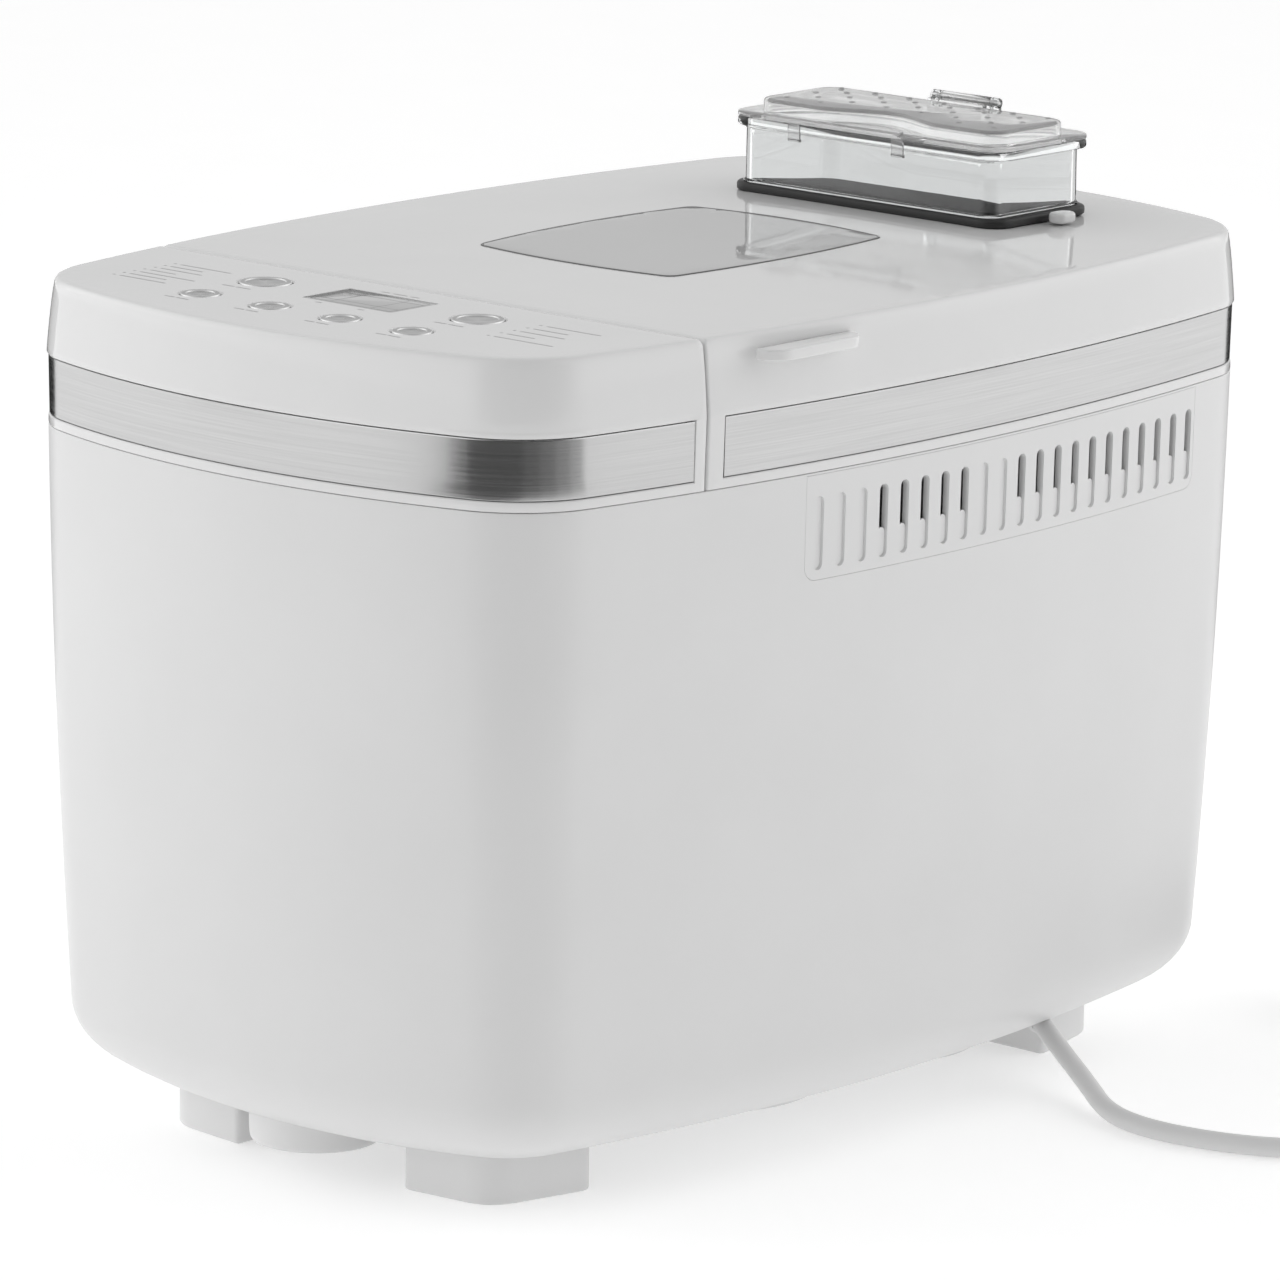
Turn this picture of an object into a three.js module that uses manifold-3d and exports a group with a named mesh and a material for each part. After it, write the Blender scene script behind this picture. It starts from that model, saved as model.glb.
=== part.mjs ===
// Bread machine with a long housing, a hinged lid, a fruit-and-nut dispenser and a two-paddle pan.
// Millimetres, +Z up, the control panel at the -Y end, the origin on the floor under the middle.
import * as THREE from 'three';
import { mergeVertices } from 'three/addons/utils/BufferGeometryUtils.js';
import Module from 'manifold-3d';

const wasm = await Module();
wasm.setup();

// ---- driving dimensions ----
const GAP = 0.3; // running gap between neighbouring pieces
const HALF_WIDTH = 125; // half the width at the collar
const HALF_LENGTH = 196.8; // half the length at the collar
const SIDE_BOW = 21.4; // how far each long side bows out
const END_BOW = 27.7; // how far each short end bows out
const CORNER = 35.8; // plan radius of the corners
const FLOOR_Z = 17; // underside of the housing
const EDGE_Z = 42; // where the rounded lower edge meets the wall
const EDGE_IN = 30; // how far the rounded edge runs in
const SEAM_Z = 230; // parting line under the collar
const TOP_Z = 277.2; // edge of the top surface
const CROWN = 1.8; // rise of the lid's top
const CROWN_Y = 44; // middle of the crowned lid
const BAND_Z = [233.3, 252.7]; // steel band, low and high
const SEAM_Y = -109.05; // parting line between panel and lid
const WALL = 2.6;
const HINGE_Y = 201.6;
const HINGE_Z = 229;
const HINGE_R = 4;
const PAN_Y = 45; // middle of pan and chamber
const SHAFT_Y = [-10, 100]; // front and rear drive shafts
const MOTOR = { x: -6, y: -150, r: 29 };
const CHAMBER = { x: 91, y: 128, r: 30, low: 60, high: 226.4, wall: 1.2 };
const PAN = { x: 68, y: 112, r: 22, low: 84, high: 212, taper: 4, wall: 1.5 };
const DISPENSER = { x: 58.5, y: [103, 155], seat: 279, rim: 303.6, top: 309.8 };
const DISPENSER_HINGE = { y: 158, z: 310, r: 1.8, bore: 1, pin: 0.7, inner: 10.6, outer: 14.4 };
const BAIL_Z = 217; // pivots of the pan's handle
const ELEMENT_Z = 72; // heating element
const SENSOR = { x: 40, z: 100, r: 4 };
const SHAFT_R = 4; // drive and paddle shafts
const WINDOW = { x: 42, y: [-40, 66], bow: 3.5, r: 5 };
const LARGE_BUTTONS = [[-45.6, -134], [45.6, -134]];
const SMALL_BUTTONS = [[-45.4, -163.6], [-15.1, -163.6], [15.1, -163.6], [45.4, -163.6]];
const LARGE_BUTTON_R = 8.4;
const SMALL_BUTTON_R = 6.4;
const VENT = {
  x: [100, 130], // reach across the wall
  y: [-66.2, 140.6],
  z: [195.4, 229.2],
  thick: 1.4,
  first: -60.2, // middle of the first slot
  pitch: 9.84,
  count: 21,
  slot: 3.8,
  slotZ: [198.6, 222.3],
  openLow: 208, // below this the open slots are blind grooves too
  groove: 0.7,
};
const CORD_R = 3.3;
const CORD_EXIT = [96.7, 90.1, 18.6];
const CORD_WAY = [0.862, -0.362, -0.355]; // heading of the lead as it leaves
const COIL = { x: 206.7, y: 205, inner: 29.5, outer: 43.1, low: 1.1, high: 12.6 };
const REAR_Y = HINGE_Y + HINGE_R; // rearmost point, on the hinge
const ORIGIN_SHIFT_Y = -(REAR_Y - HALF_LENGTH) / 2; // puts the origin under the middle

// ---- solids ----
function solid(source) {
  const bare = source.clone();
  for (const name of Object.keys(bare.attributes)) {
    if (name !== 'position') {
      bare.deleteAttribute(name);
    }
  }
  const merged = mergeVertices(bare, 1e-4);
  const mesh = new wasm.Mesh({
    numProp: 3,
    vertProperties: new Float32Array(merged.attributes.position.array),
    triVerts: new Uint32Array(merged.index.array),
  });
  return new wasm.Manifold(mesh);
}

function surface(body) {
  const mesh = body.getMesh();
  const made = new THREE.BufferGeometry();
  made.setAttribute('position', new THREE.BufferAttribute(new Float32Array(mesh.vertProperties), 3));
  made.setIndex(new THREE.BufferAttribute(new Uint32Array(mesh.triVerts), 1));
  made.computeVertexNormals();
  return made;
}

function block(x, y, z) {
  const made = new THREE.BoxGeometry(x[1] - x[0], y[1] - y[0], z[1] - z[0]);
  made.translate((x[0] + x[1]) / 2, (y[0] + y[1]) / 2, (z[0] + z[1]) / 2);
  return solid(made);
}

function turned(points, sides = 20) {
  const profile = points.map(([r, z]) => new THREE.Vector2(r, z));
  const made = new THREE.LatheGeometry(profile, sides);
  made.rotateX(Math.PI / 2);
  return made;
}

function post(x, y, r, z, sides = 12) {
  const made = turned([[0, z[0]], [r, z[0]], [r, z[1]], [0, z[1]]], sides);
  made.translate(x, y, 0);
  return solid(made);
}

function sleeve(x, y, inner, outer, z, sides = 14) {
  const made = turned([[inner, z[0]], [outer, z[0]], [outer, z[1]], [inner, z[1]], [inner, z[0]]], sides);
  made.translate(x, y, 0);
  return solid(made);
}

function rodX(x, y, z, r, sides = 10) {
  const made = turned([[0, x[0]], [r, x[0]], [r, x[1]], [0, x[1]]], sides);
  made.rotateY(Math.PI / 2);
  made.translate(0, y, z);
  return solid(made);
}

function rodBetween(start, end, rStart, rEnd, sides = 12) {
  const from = new THREE.Vector3(...start);
  const to = new THREE.Vector3(...end);
  const length = from.distanceTo(to);
  const made = turned([[0, 0], [rStart, 0], [rEnd, length], [0, length]], sides);
  const way = to.clone().sub(from).normalize();
  made.applyQuaternion(new THREE.Quaternion().setFromUnitVectors(new THREE.Vector3(0, 0, 1), way));
  made.translate(from.x, from.y, from.z);
  return solid(made);
}

// A rounded rectangle in plan, pushed out in the middle of each side by bow.
function plate(halfX, y, r, z, bow = 0, steps = 3) {
  const shape = new THREE.Shape();
  const [low, high] = y;
  const middle = (low + high) / 2;
  const side = (controlX, controlY, x, endY) => {
    if (bow > 0) {
      shape.quadraticCurveTo(controlX, controlY, x, endY);
    } else {
      shape.lineTo(x, endY);
    }
  };
  shape.moveTo(-halfX + r, low);
  side(0, low - 2 * bow, halfX - r, low);
  shape.quadraticCurveTo(halfX, low, halfX, low + r);
  side(halfX + 2 * bow, middle, halfX, high - r);
  shape.quadraticCurveTo(halfX, high, halfX - r, high);
  side(0, high + 2 * bow, -halfX + r, high);
  shape.quadraticCurveTo(-halfX, high, -halfX, high - r);
  side(-halfX - 2 * bow, middle, -halfX, low + r);
  shape.quadraticCurveTo(-halfX, low, -halfX + r, low);
  const made = new THREE.ExtrudeGeometry(shape, {
    depth: z[1] - z[0], bevelEnabled: false, curveSegments: steps,
  });
  made.translate(0, 0, z[0]);
  return solid(made);
}

// ---- the machine's plan: four flat arcs and four round corners ----
// Runs along the +X side from y = start, round the corner, to the middle of the +Y end.
function planChain(inset, start) {
  const halfX = HALF_WIDTH - inset;
  const halfY = HALF_LENGTH - inset;
  const corner = Math.max(CORNER - inset / 2, 12);
  const sideR = (halfY ** 2 + SIDE_BOW ** 2) / (2 * SIDE_BOW);
  const endR = (halfX ** 2 + END_BOW ** 2) / (2 * END_BOW);
  const sideX = halfX - sideR;
  const endY = halfY - endR;
  const apart = Math.hypot(sideX, endY);
  const along = ((sideR - corner) ** 2 - (endR - corner) ** 2 + apart ** 2) / (2 * apart);
  const across = Math.sqrt((sideR - corner) ** 2 - along ** 2);
  const ux = -sideX / apart;
  const uy = endY / apart;
  const cornerX = sideX + along * ux - across * uy;
  const cornerY = along * uy + across * ux;
  const first = Math.asin(start / sideR);
  const second = Math.atan2(cornerY, cornerX - sideX);
  const third = Math.atan2(cornerY - endY, cornerX);
  const chain = [];
  const arc = (x, y, r, from, to, steps) => {
    for (let i = 0; i < steps; i += 1) {
      const angle = from + ((to - from) * i) / steps;
      chain.push([x + r * Math.cos(angle), y + r * Math.sin(angle)]);
    }
  };
  arc(sideX, 0, sideR, first, second, 3);
  arc(cornerX, cornerY, corner, second, third, 4);
  arc(0, endY, endR, third, Math.PI / 2, 2);
  chain.push([0, halfY]);
  return chain;
}

function mirroredX(chain) {
  const back = chain.slice(0, -1).reverse().map(([x, y]) => [-x, y]);
  return [...chain, ...back];
}

const plans = {
  housing(inset) {
    const rear = mirroredX(planChain(inset, 0));
    const front = rear.slice(1, -1).map(([x, y]) => [-x, -y]);
    return [...rear, ...front];
  },
  lid(inset, seam = SEAM_Y + GAP) {
    return mirroredX(planChain(inset, seam));
  },
  panel(inset, seam = SEAM_Y - GAP) {
    return mirroredX(planChain(inset, -seam)).map(([x, y]) => [-x, -y]);
  },
};

// Joins rings of equal count, each { points, z }, and closes both ends to their middles.
function loft(rings, heart = [0, 0]) {
  const count = rings[0].points.length;
  const position = [];
  const index = [];
  for (const { points, z } of rings) {
    for (const point of points) {
      position.push(point[0], point[1], point[2] ?? z);
    }
  }
  for (let level = 0; level + 1 < rings.length; level += 1) {
    for (let i = 0; i < count; i += 1) {
      const a = level * count + i;
      const b = level * count + ((i + 1) % count);
      index.push(a, b, b + count, a, b + count, a + count);
    }
  }
  const last = (rings.length - 1) * count;
  const low = position.length / 3;
  position.push(heart[0], heart[1], rings[0].heartZ ?? rings[0].z);
  position.push(heart[0], heart[1], rings.at(-1).heartZ ?? rings.at(-1).z);
  for (let i = 0; i < count; i += 1) {
    const next = (i + 1) % count;
    index.push(low, next, i);
    index.push(low + 1, last + i, last + next);
  }
  const made = new THREE.BufferGeometry();
  made.setAttribute('position', new THREE.Float32BufferAttribute(position, 3));
  made.setIndex(index);
  return solid(made);
}

function wallInset(z) {
  const down = SEAM_Z - z;
  return 0.012 * down + 0.0001 * down ** 2;
}

// The housing's outside, or the same surface moved in by depth.
function housingBody(depth, floor, ceiling, steps = 4) {
  const rings = [];
  const height = EDGE_Z - FLOOR_Z;
  const edge = wallInset(EDGE_Z);
  for (let i = 0; i <= steps; i += 1) {
    const angle = ((1 - i / steps) * Math.PI) / 2;
    const z = EDGE_Z - (height - depth) * Math.sin(angle);
    rings.push({ z: Math.max(z, floor), inset: edge + depth + (EDGE_IN - depth) * (1 - Math.cos(angle)) });
  }
  for (const z of [100, 165, ceiling]) {
    rings.push({ z, inset: wallInset(z) + depth });
  }
  return loft(rings.map(({ z, inset }) => ({ z, points: plans.housing(inset) })));
}

const isOpenSlot = (i) => (i >= 3 && i <= 7) || i >= 10; // the others are blind grooves

// A point on the lead's first straight, beyond its exit or, when negative, inside the housing.
function alongLead(distance) {
  return CORD_EXIT.map((value, i) => value + CORD_WAY[i] * distance);
}

function toSide(x, side) {
  return side === 'right' ? x : [-x[1], -x[0]];
}

// ---- housing ----
const HOUSING_KNUCKLES = [[-44, -22], [22, 44]];
const LID_KNUCKLES = [[-62, -44.4], [44.4, 62]];
const PIN_R = 1.8;

function outerHousing() {
  const top = SEAM_Z - GAP;
  let made = housingBody(0, FLOOR_Z, top);
  made = made.subtract(housingBody(3, FLOOR_Z + 3, top + 5, 3));
  const deck = loft([220, 223].map((z) => ({ z, points: plans.housing(wallInset(z) + 2) })));
  made = made.add(deck);
  const chamberY = [PAN_Y - CHAMBER.y - 1, PAN_Y + CHAMBER.y + 1];
  made = made.subtract(plate(CHAMBER.x + 1, chamberY, CHAMBER.r, [215, 226]));
  made = made.subtract(plate(92, [-176, -118], 14, [215, 226]));
  const base = loft([FLOOR_Z - 1, FLOOR_Z + 4].map((z) => ({ z, points: plans.housing(46) })));
  made = made.subtract(base);
  made = made.subtract(post(MOTOR.x, MOTOR.y, 18, [10, 24]));
  for (const side of ['right', 'left']) {
    const recess = block(toSide(VENT.x, side), VENT.y, [VENT.z[0], top + 1]);
    const core = housingBody(VENT.thick + GAP, FLOOR_Z, top + 5);
    made = made.subtract(recess.subtract(core));
    const behind = [VENT.first - VENT.slot, VENT.first + VENT.pitch * (VENT.count - 1) + VENT.slot];
    made = made.subtract(block(toSide(VENT.x, side), behind, [200, 219]));
  }
  for (const span of HOUSING_KNUCKLES) {
    const arm = block(span, [191, HINGE_Y], [HINGE_Z - HINGE_R, HINGE_Z - 0.6]);
    made = made.add(arm).add(rodX(span, HINGE_Y, HINGE_Z, HINGE_R));
  }
  made = made.subtract(rodX([-46, 46], HINGE_Y, HINGE_Z, PIN_R + GAP));
  const notchR = 6.6;
  return made.subtract(rodBetween(alongLead(-34), alongLead(40), notchR, notchR));
}

function ventPanel(side) {
  const top = SEAM_Z - GAP;
  const y = [VENT.y[0] + GAP, VENT.y[1] - GAP];
  const slab = block(toSide(VENT.x, side), y, [VENT.z[0] + GAP, top - GAP]);
  let made = housingBody(0, FLOOR_Z, top).intersect(slab);
  made = made.subtract(housingBody(VENT.thick, FLOOR_Z, top + 5));
  const belowGroove = housingBody(VENT.groove, FLOOR_Z, top + 5);
  for (let i = 0; i < VENT.count; i += 1) {
    const middle = VENT.first + VENT.pitch * i;
    const slot = [middle - VENT.slot / 2, middle + VENT.slot / 2];
    made = made.subtract(block(toSide(VENT.x, side), slot, VENT.slotZ).subtract(belowGroove));
    if (isOpenSlot(i)) {
      made = made.subtract(block(toSide(VENT.x, side), slot, [VENT.openLow, VENT.slotZ[1]]));
    }
  }
  return made;
}

function basePlate() {
  const z = [13.6, FLOOR_Z - GAP];
  let made = loft(z.map((level) => ({ z: level, points: plans.housing(39) })));
  for (const side of [-1, 1]) {
    made = made.add(post(side * 48, -26, 39, [12.4, 15], 18));
    made = made.add(post(side * 58, 57, 29, [12.4, 15], 18));
  }
  made = made.subtract(post(MOTOR.x, MOTOR.y, 17, [10, 20]));
  return made;
}

function foot(signX, signY) {
  const shape = new THREE.Shape();
  shape.moveTo(36.2, 134);
  shape.lineTo(36.2, 152.2);
  shape.quadraticCurveTo(36.2, 154.4, 38.4, 154.3);
  shape.lineTo(60, 152);
  shape.quadraticCurveTo(70, 150.8, 72.6, 141);
  shape.lineTo(78.6, 116.6);
  shape.quadraticCurveTo(79.2, 112.8, 76.6, 112.8);
  shape.lineTo(57, 112.8);
  shape.quadraticCurveTo(36.2, 112.8, 36.2, 134);
  const made = new THREE.ExtrudeGeometry(shape, {
    depth: 10.7, bevelEnabled: true, bevelThickness: 1.2, bevelSize: 1, bevelOffset: -1, bevelSegments: 1,
    curveSegments: 3,
  });
  made.translate(0, 0, 1.2);
  let body = solid(made);
  if (signX * signY < 0) {
    body = body.scale([signX, signY, 1]);
  } else if (signX < 0) {
    body = body.rotate([0, 0, 180]);
  }
  return body.subtract(block([-200, 200], [-200, 200], [12.1, 20]));
}

function motorEndCover() {
  const low = 8;
  const high = 13.3;
  const outside = [[0, low], [19.8, low], [21, low + 1.2], [21.3, high]];
  const profile = [...outside, [16, high], [16, low + 2], [0, low + 2]];
  const made = turned(profile, 24);
  made.translate(MOTOR.x, MOTOR.y, 0);
  return solid(made);
}

// ---- control panel ----
// The collar's outside, from the parting line up to top.
function collarRings(plan, seam, top) {
  const levels = [ // height and inset
    [SEAM_Z + GAP, 0], [BAND_Z[0] - 0.4, 0], [BAND_Z[1], -0.5], [262, 0.1],
    [270, 0.8], [TOP_Z - 1.6, 1.5], [TOP_Z, 2.6],
  ];
  return levels
    .filter(([z]) => z <= top)
    .map(([z, inset]) => ({ z, points: plan(inset, seam) }));
}

const PANEL_HEART = [0, -150]; // a point inside the panel's plan
const LID_HEART = [0, CROWN_Y]; // a point inside the lid's plan

function panelCover() {
  const heart = PANEL_HEART;
  let made = loft(collarRings(plans.panel, SEAM_Y - GAP, TOP_Z), heart);
  const inner = [[SEAM_Z - 2, WALL], [BAND_Z[1], WALL - 0.5], [TOP_Z - WALL, WALL + 1]];
  const innerRings = inner.map(([z, inset]) => ({ z, points: plans.panel(inset, SEAM_Y - GAP - WALL) }));
  const hollow = loft(innerRings, heart);
  made = made.subtract(hollow);
  const groove = bandStrip(plans.panel, heart, [1.3, -3], BAND_Z, PANEL_BAND_END + GAP);
  made = made.subtract(groove);
  for (const [x, y] of LARGE_BUTTONS) {
    made = made.subtract(buttonDish(x, y, LARGE_BUTTON_R));
  }
  for (const [x, y] of SMALL_BUTTONS) {
    made = made.subtract(buttonDish(x, y, SMALL_BUTTON_R));
  }
  made = made.subtract(block([-19, 19], [-145, -123.4], [275.6, 280]));
  made = made.subtract(block([-17, 17], [-143, -125.4], [270, 280]));
  for (const [x, y] of [[-72, -165], [72, -165], [-72, -126], [72, -126]]) {
    made = made.add(post(x, y, 3, [257.2, 275.5], 16));
  }
  return made;
}

function buttonDish(x, y, r) {
  const made = turned([[0, 270], [r + 0.35, 270], [r + 0.35, 276.4], [r + 0.9, 278], [0, 278]], 14);
  made.translate(x, y, 0);
  return solid(made);
}

function button(x, y, r) {
  const top = 276.7;
  const cup = 0.9;
  const made = turned([[0, 262], [2, 262], [2, 273], [r, 273], [r, top], [0, top - cup]], 14);
  made.translate(x, y, 0);
  return solid(made);
}

const PANEL_BAND_END = -113.9;
const LID_BAND_END = -102.2;

// A strip of the collar between two insets and two heights, up to y = end.
function bandStrip(plan, heart, insets, z, end) {
  const ring = (inset) => z.map((level) => ({ z: level, points: plan(inset, end) }));
  const widened = [z[0] - 1, z[1] + 1];
  const far = plan === plans.lid ? end - 10 : end + 10;
  const core = widened.map((level) => ({ z: level, points: plan(insets[0], far) }));
  return loft(ring(insets[1]), heart).subtract(loft(core, heart));
}

function controlBoard() {
  const top = 256.8;
  let made = block([-80, 80], [-172, -118], [top - 1.8, top]);
  made = made.add(block([-20, 20], [-146, -124], [top - 0.5, 266]));
  made = made.add(block([-24, 24], [-150, -120], [265.5, 273.2]));
  for (const [x, y] of [...LARGE_BUTTONS, ...SMALL_BUTTONS]) {
    made = made.add(block([x - 3, x + 3], [y - 3, y + 3], [top - 0.5, 260.4])); // switch under each button
  }
  return made;
}

function lcdWindow() {
  return block([-18.7, 18.7], [-144.7, -123.7], [275.9, 276.9]);
}

// ---- lid ----
// The domed top, as rings that shrink towards its middle.
function lidCrown() {
  const edge = plans.lid(2.6, SEAM_Y + GAP);
  const shrink = (s) => ({
    z: TOP_Z + CROWN * (1 - s * s),
    points: edge.map(([x, y]) => [x * s, CROWN_Y + (y - CROWN_Y) * s]),
  });
  return [1, 0.75, 0.4].map(shrink);
}

function lidCover() {
  const heart = LID_HEART;
  const walls = collarRings(plans.lid, SEAM_Y + GAP, TOP_Z - 0.1);
  const crown = lidCrown();
  crown.at(-1).heartZ = TOP_Z + CROWN;
  let made = loft([...walls, ...crown], heart);
  const inner = [[SEAM_Z - 2, WALL], [BAND_Z[1], WALL - 0.5], [TOP_Z - WALL - 1, WALL + 1]];
  const innerRings = inner.map(([z, inset]) => ({ z, points: plans.lid(inset, SEAM_Y + GAP + WALL) }));
  const hollow = loft(innerRings, heart);
  made = made.subtract(hollow);
  made = made.subtract(bandStrip(plans.lid, heart, [1.3, -3], BAND_Z, LID_BAND_END - GAP));
  const seat = [WINDOW.y[0] - GAP, WINDOW.y[1] + GAP];
  made = made.subtract(plate(WINDOW.x + GAP, seat, WINDOW.r, [276.6, 285], WINDOW.bow));
  const through = [WINDOW.y[0] + 4, WINDOW.y[1] - 4];
  made = made.subtract(plate(WINDOW.x - 4, through, WINDOW.r, [260, 285], WINDOW.bow));
  made = made.subtract(plate(53, [105.5, 152.5], 4, [260, 285]));
  for (const span of LID_KNUCKLES) {
    const arm = block(span, [189.5, HINGE_Y], [SEAM_Z + GAP, SEAM_Z + 2.9]);
    made = made.add(arm).add(rodX(span, HINGE_Y, HINGE_Z, HINGE_R));
  }
  for (const span of [[-64, -42], [42, 64]]) {
    made = made.subtract(rodX(span, HINGE_Y, HINGE_Z, PIN_R + GAP));
  }
  return made;
}

function lidWindow() {
  return plate(WINDOW.x, WINDOW.y, WINDOW.r, [276.9, 278.9], WINDOW.bow);
}

function lidLiner() {
  const heart = LID_HEART;
  const inset = WALL + GAP;
  const front = SEAM_Y + GAP + WALL + GAP;
  let made = loft([238, 240].map((z) => ({ z, points: plans.lid(inset + 0.3, front) })), heart);
  made = made.add(plate(70, [-66, 94], 12, [239, 243]));
  made = made.subtract(plate(36, [-34, 60], 8, [230, 250]));
  made = made.subtract(plate(55, [100, 156], 6, [230, 250]));
  return made;
}

function lidSeal() {
  const outer = plate(97, [-89, 179], 34, [231.6, 237.7]);
  return outer.subtract(plate(92, [-84, 174], 30, [230, 240]));
}

function lidTab(side) {
  const shape = new THREE.Shape();
  const [low, high] = [-91.5, -47.5];
  const out = 131.2;
  const wall = 117;
  shape.moveTo(wall, low);
  shape.lineTo(out - 8, low);
  shape.quadraticCurveTo(out, low, out, low + 8);
  shape.lineTo(out, high - 8);
  shape.quadraticCurveTo(out, high, out - 8, high);
  shape.lineTo(wall, high);
  shape.lineTo(wall, low);
  const made = new THREE.ExtrudeGeometry(shape, { depth: 3.7, bevelEnabled: false, curveSegments: 6 });
  made.translate(0, 0, 269.2);
  const inside = loft([262, 280].map((z) => ({ z, points: plans.lid(0.4, SEAM_Y + GAP) })), LID_HEART);
  const body = solid(made).subtract(inside);
  return side === 'right' ? body : body.mirror([1, 0, 0]);
}

// ---- dispenser ----
function dispenserFlange() {
  const outer = plate(58.5, [103, 155], 8, [DISPENSER.seat, DISPENSER.seat + 2.6]);
  return outer.subtract(plate(52.6, [106, 152], 4, [270, 290]));
}

function dispenserBox() {
  const seat = DISPENSER.seat + 2.6 + GAP;
  let made = plate(55, [104.6, 153.4], 6, [seat, DISPENSER.rim]);
  made = made.add(plate(DISPENSER.x, DISPENSER.y, 8, [DISPENSER.rim - 2.6, DISPENSER.rim]));
  made = made.subtract(plate(53.2, [106.4, 151.6], 4.5, [270, 310]));
  const hinge = DISPENSER_HINGE;
  const start = hinge.inner + 2 * GAP;
  for (const span of [[-hinge.outer, -start], [start, hinge.outer]]) {
    made = made.add(block(span, [152, hinge.y + 1.4], [DISPENSER.rim - 2.6, hinge.z - 0.6]));
    made = made.add(rodX(span, hinge.y, hinge.z, hinge.r, 8));
  }
  return made.subtract(rodX([-20, 20], hinge.y, hinge.z, hinge.bore, 8));
}

function dispenserLid() {
  const low = DISPENSER.rim + GAP;
  const shelf = DISPENSER.rim + 3.2;
  let made = plate(DISPENSER.x, DISPENSER.y, 8, [low, shelf]);
  made = made.add(plate(52.5, [109, 149], 8, [shelf - 1, DISPENSER.top]));
  made = made.subtract(plate(51, [110.5, 147.5], 7, [low - 2, DISPENSER.top - 1.5]));
  made = made.add(plate(12, [98.5, 106], 3, [low, low + 1.8]));
  const hinge = DISPENSER_HINGE;
  const half = hinge.inner;
  made = made.subtract(block([-hinge.outer - 1, -half], [150.5, 170], [300, 315]));
  made = made.subtract(block([half, hinge.outer + 1], [150.5, 170], [300, 315]));
  made = made.add(block([-half, half], [152, hinge.y], [shelf - 1, hinge.z - 0.6]));
  made = made.add(rodX([-half, half], hinge.y, hinge.z, hinge.r, 8));
  return made.subtract(rodX([-half - 1, half + 1], hinge.y, hinge.z, hinge.bore, 8));
}

function dispenserFlap() {
  return plate(51.4, [107, 151.4], 4, [DISPENSER.seat + 0.3, DISPENSER.seat + 2]);
}

function dispenserCatch() {
  return plate(3.4, [126, 135.4], 3, [279.1, 282.4]).translate([64.2, 0, 0]);
}

// ---- baking chamber, pan and paddles ----
function chamberLiner() {
  const c = CHAMBER;
  const y = (grow) => [PAN_Y - c.y - grow, PAN_Y + c.y + grow];
  let made = plate(c.x, y(0), c.r, [c.low, c.high]);
  made = made.add(plate(c.x + 6, y(6), c.r + 4, [c.high - 3.1, c.high - 1.6]));
  made = made.subtract(plate(c.x - c.wall, y(-c.wall), c.r - 1, [c.low + c.wall, c.high + 5]));
  for (const shaftY of SHAFT_Y) {
    made = made.subtract(post(0, shaftY, 11.5, [c.low - 5, c.low + 5]));
  }
  const front = PAN_Y - c.y;
  const hole = (x, z, r) => rodBetween([x, front - 4, z], [x, front + 6, z], r, r);
  made = made.subtract(hole(SENSOR.x, SENSOR.z, SENSOR.r + 0.4));
  for (const x of [-14.5, 14.5]) {
    made = made.subtract(hole(x, ELEMENT_Z, 5));
  }
  return made;
}

function tube(points, r, steps, sides = 10) {
  const path = new THREE.CatmullRomCurve3(points.map((p) => new THREE.Vector3(...p)), false, 'centripetal');
  const section = new THREE.Shape();
  for (let i = 0; i < sides; i += 1) {
    const angle = (2 * Math.PI * i) / sides;
    const [x, y] = [r * Math.cos(angle), r * Math.sin(angle)];
    if (i === 0) {
      section.moveTo(x, y);
    } else {
      section.lineTo(x, y);
    }
  }
  section.closePath();
  return new THREE.ExtrudeGeometry(section, { steps, extrudePath: path, bevelEnabled: false });
}

// Points round a half loop: out along one arm, across the far side, back along the other.
function loopPoints(halfX, near, far, corner, z) {
  const right = [];
  const span = far - near - corner;
  for (let i = 0; i <= 3; i += 1) {
    right.push([halfX, near + (span * i) / 3, z]);
  }
  for (let i = 1; i <= 3; i += 1) {
    const angle = (i * Math.PI) / 6;
    right.push([halfX - corner + corner * Math.cos(angle), far - corner + corner * Math.sin(angle), z]);
  }
  const left = right.map(([x, y, level]) => [-x, y, level]).reverse();
  return [...right, [0, far, z], ...left];
}

function heatingElement() {
  const z = ELEMENT_Z;
  const front = PAN_Y - CHAMBER.y;
  const ends = [
    [14, front - 12, z], [14, front + 4, z], [20, front + 12, z], [45, front + 13, z], [68, front + 16, z],
  ];
  const loop = loopPoints(81, front + 32, PAN_Y + CHAMBER.y - 12, 26, z);
  const points = [...ends, ...loop, ...ends.map(([x, y, level]) => [-x, y, level]).reverse()];
  return solid(tube(points, 3.2, 36, 6));
}

function temperatureSensor() {
  const front = PAN_Y - CHAMBER.y;
  const { x, z, r } = SENSOR;
  const probe = rodBetween([x, front - 12, z], [x, front + 7, z], r, r);
  return probe.add(rodBetween([x, front - 12, z], [x, front - 6, z], r + 3, r + 3));
}

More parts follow.
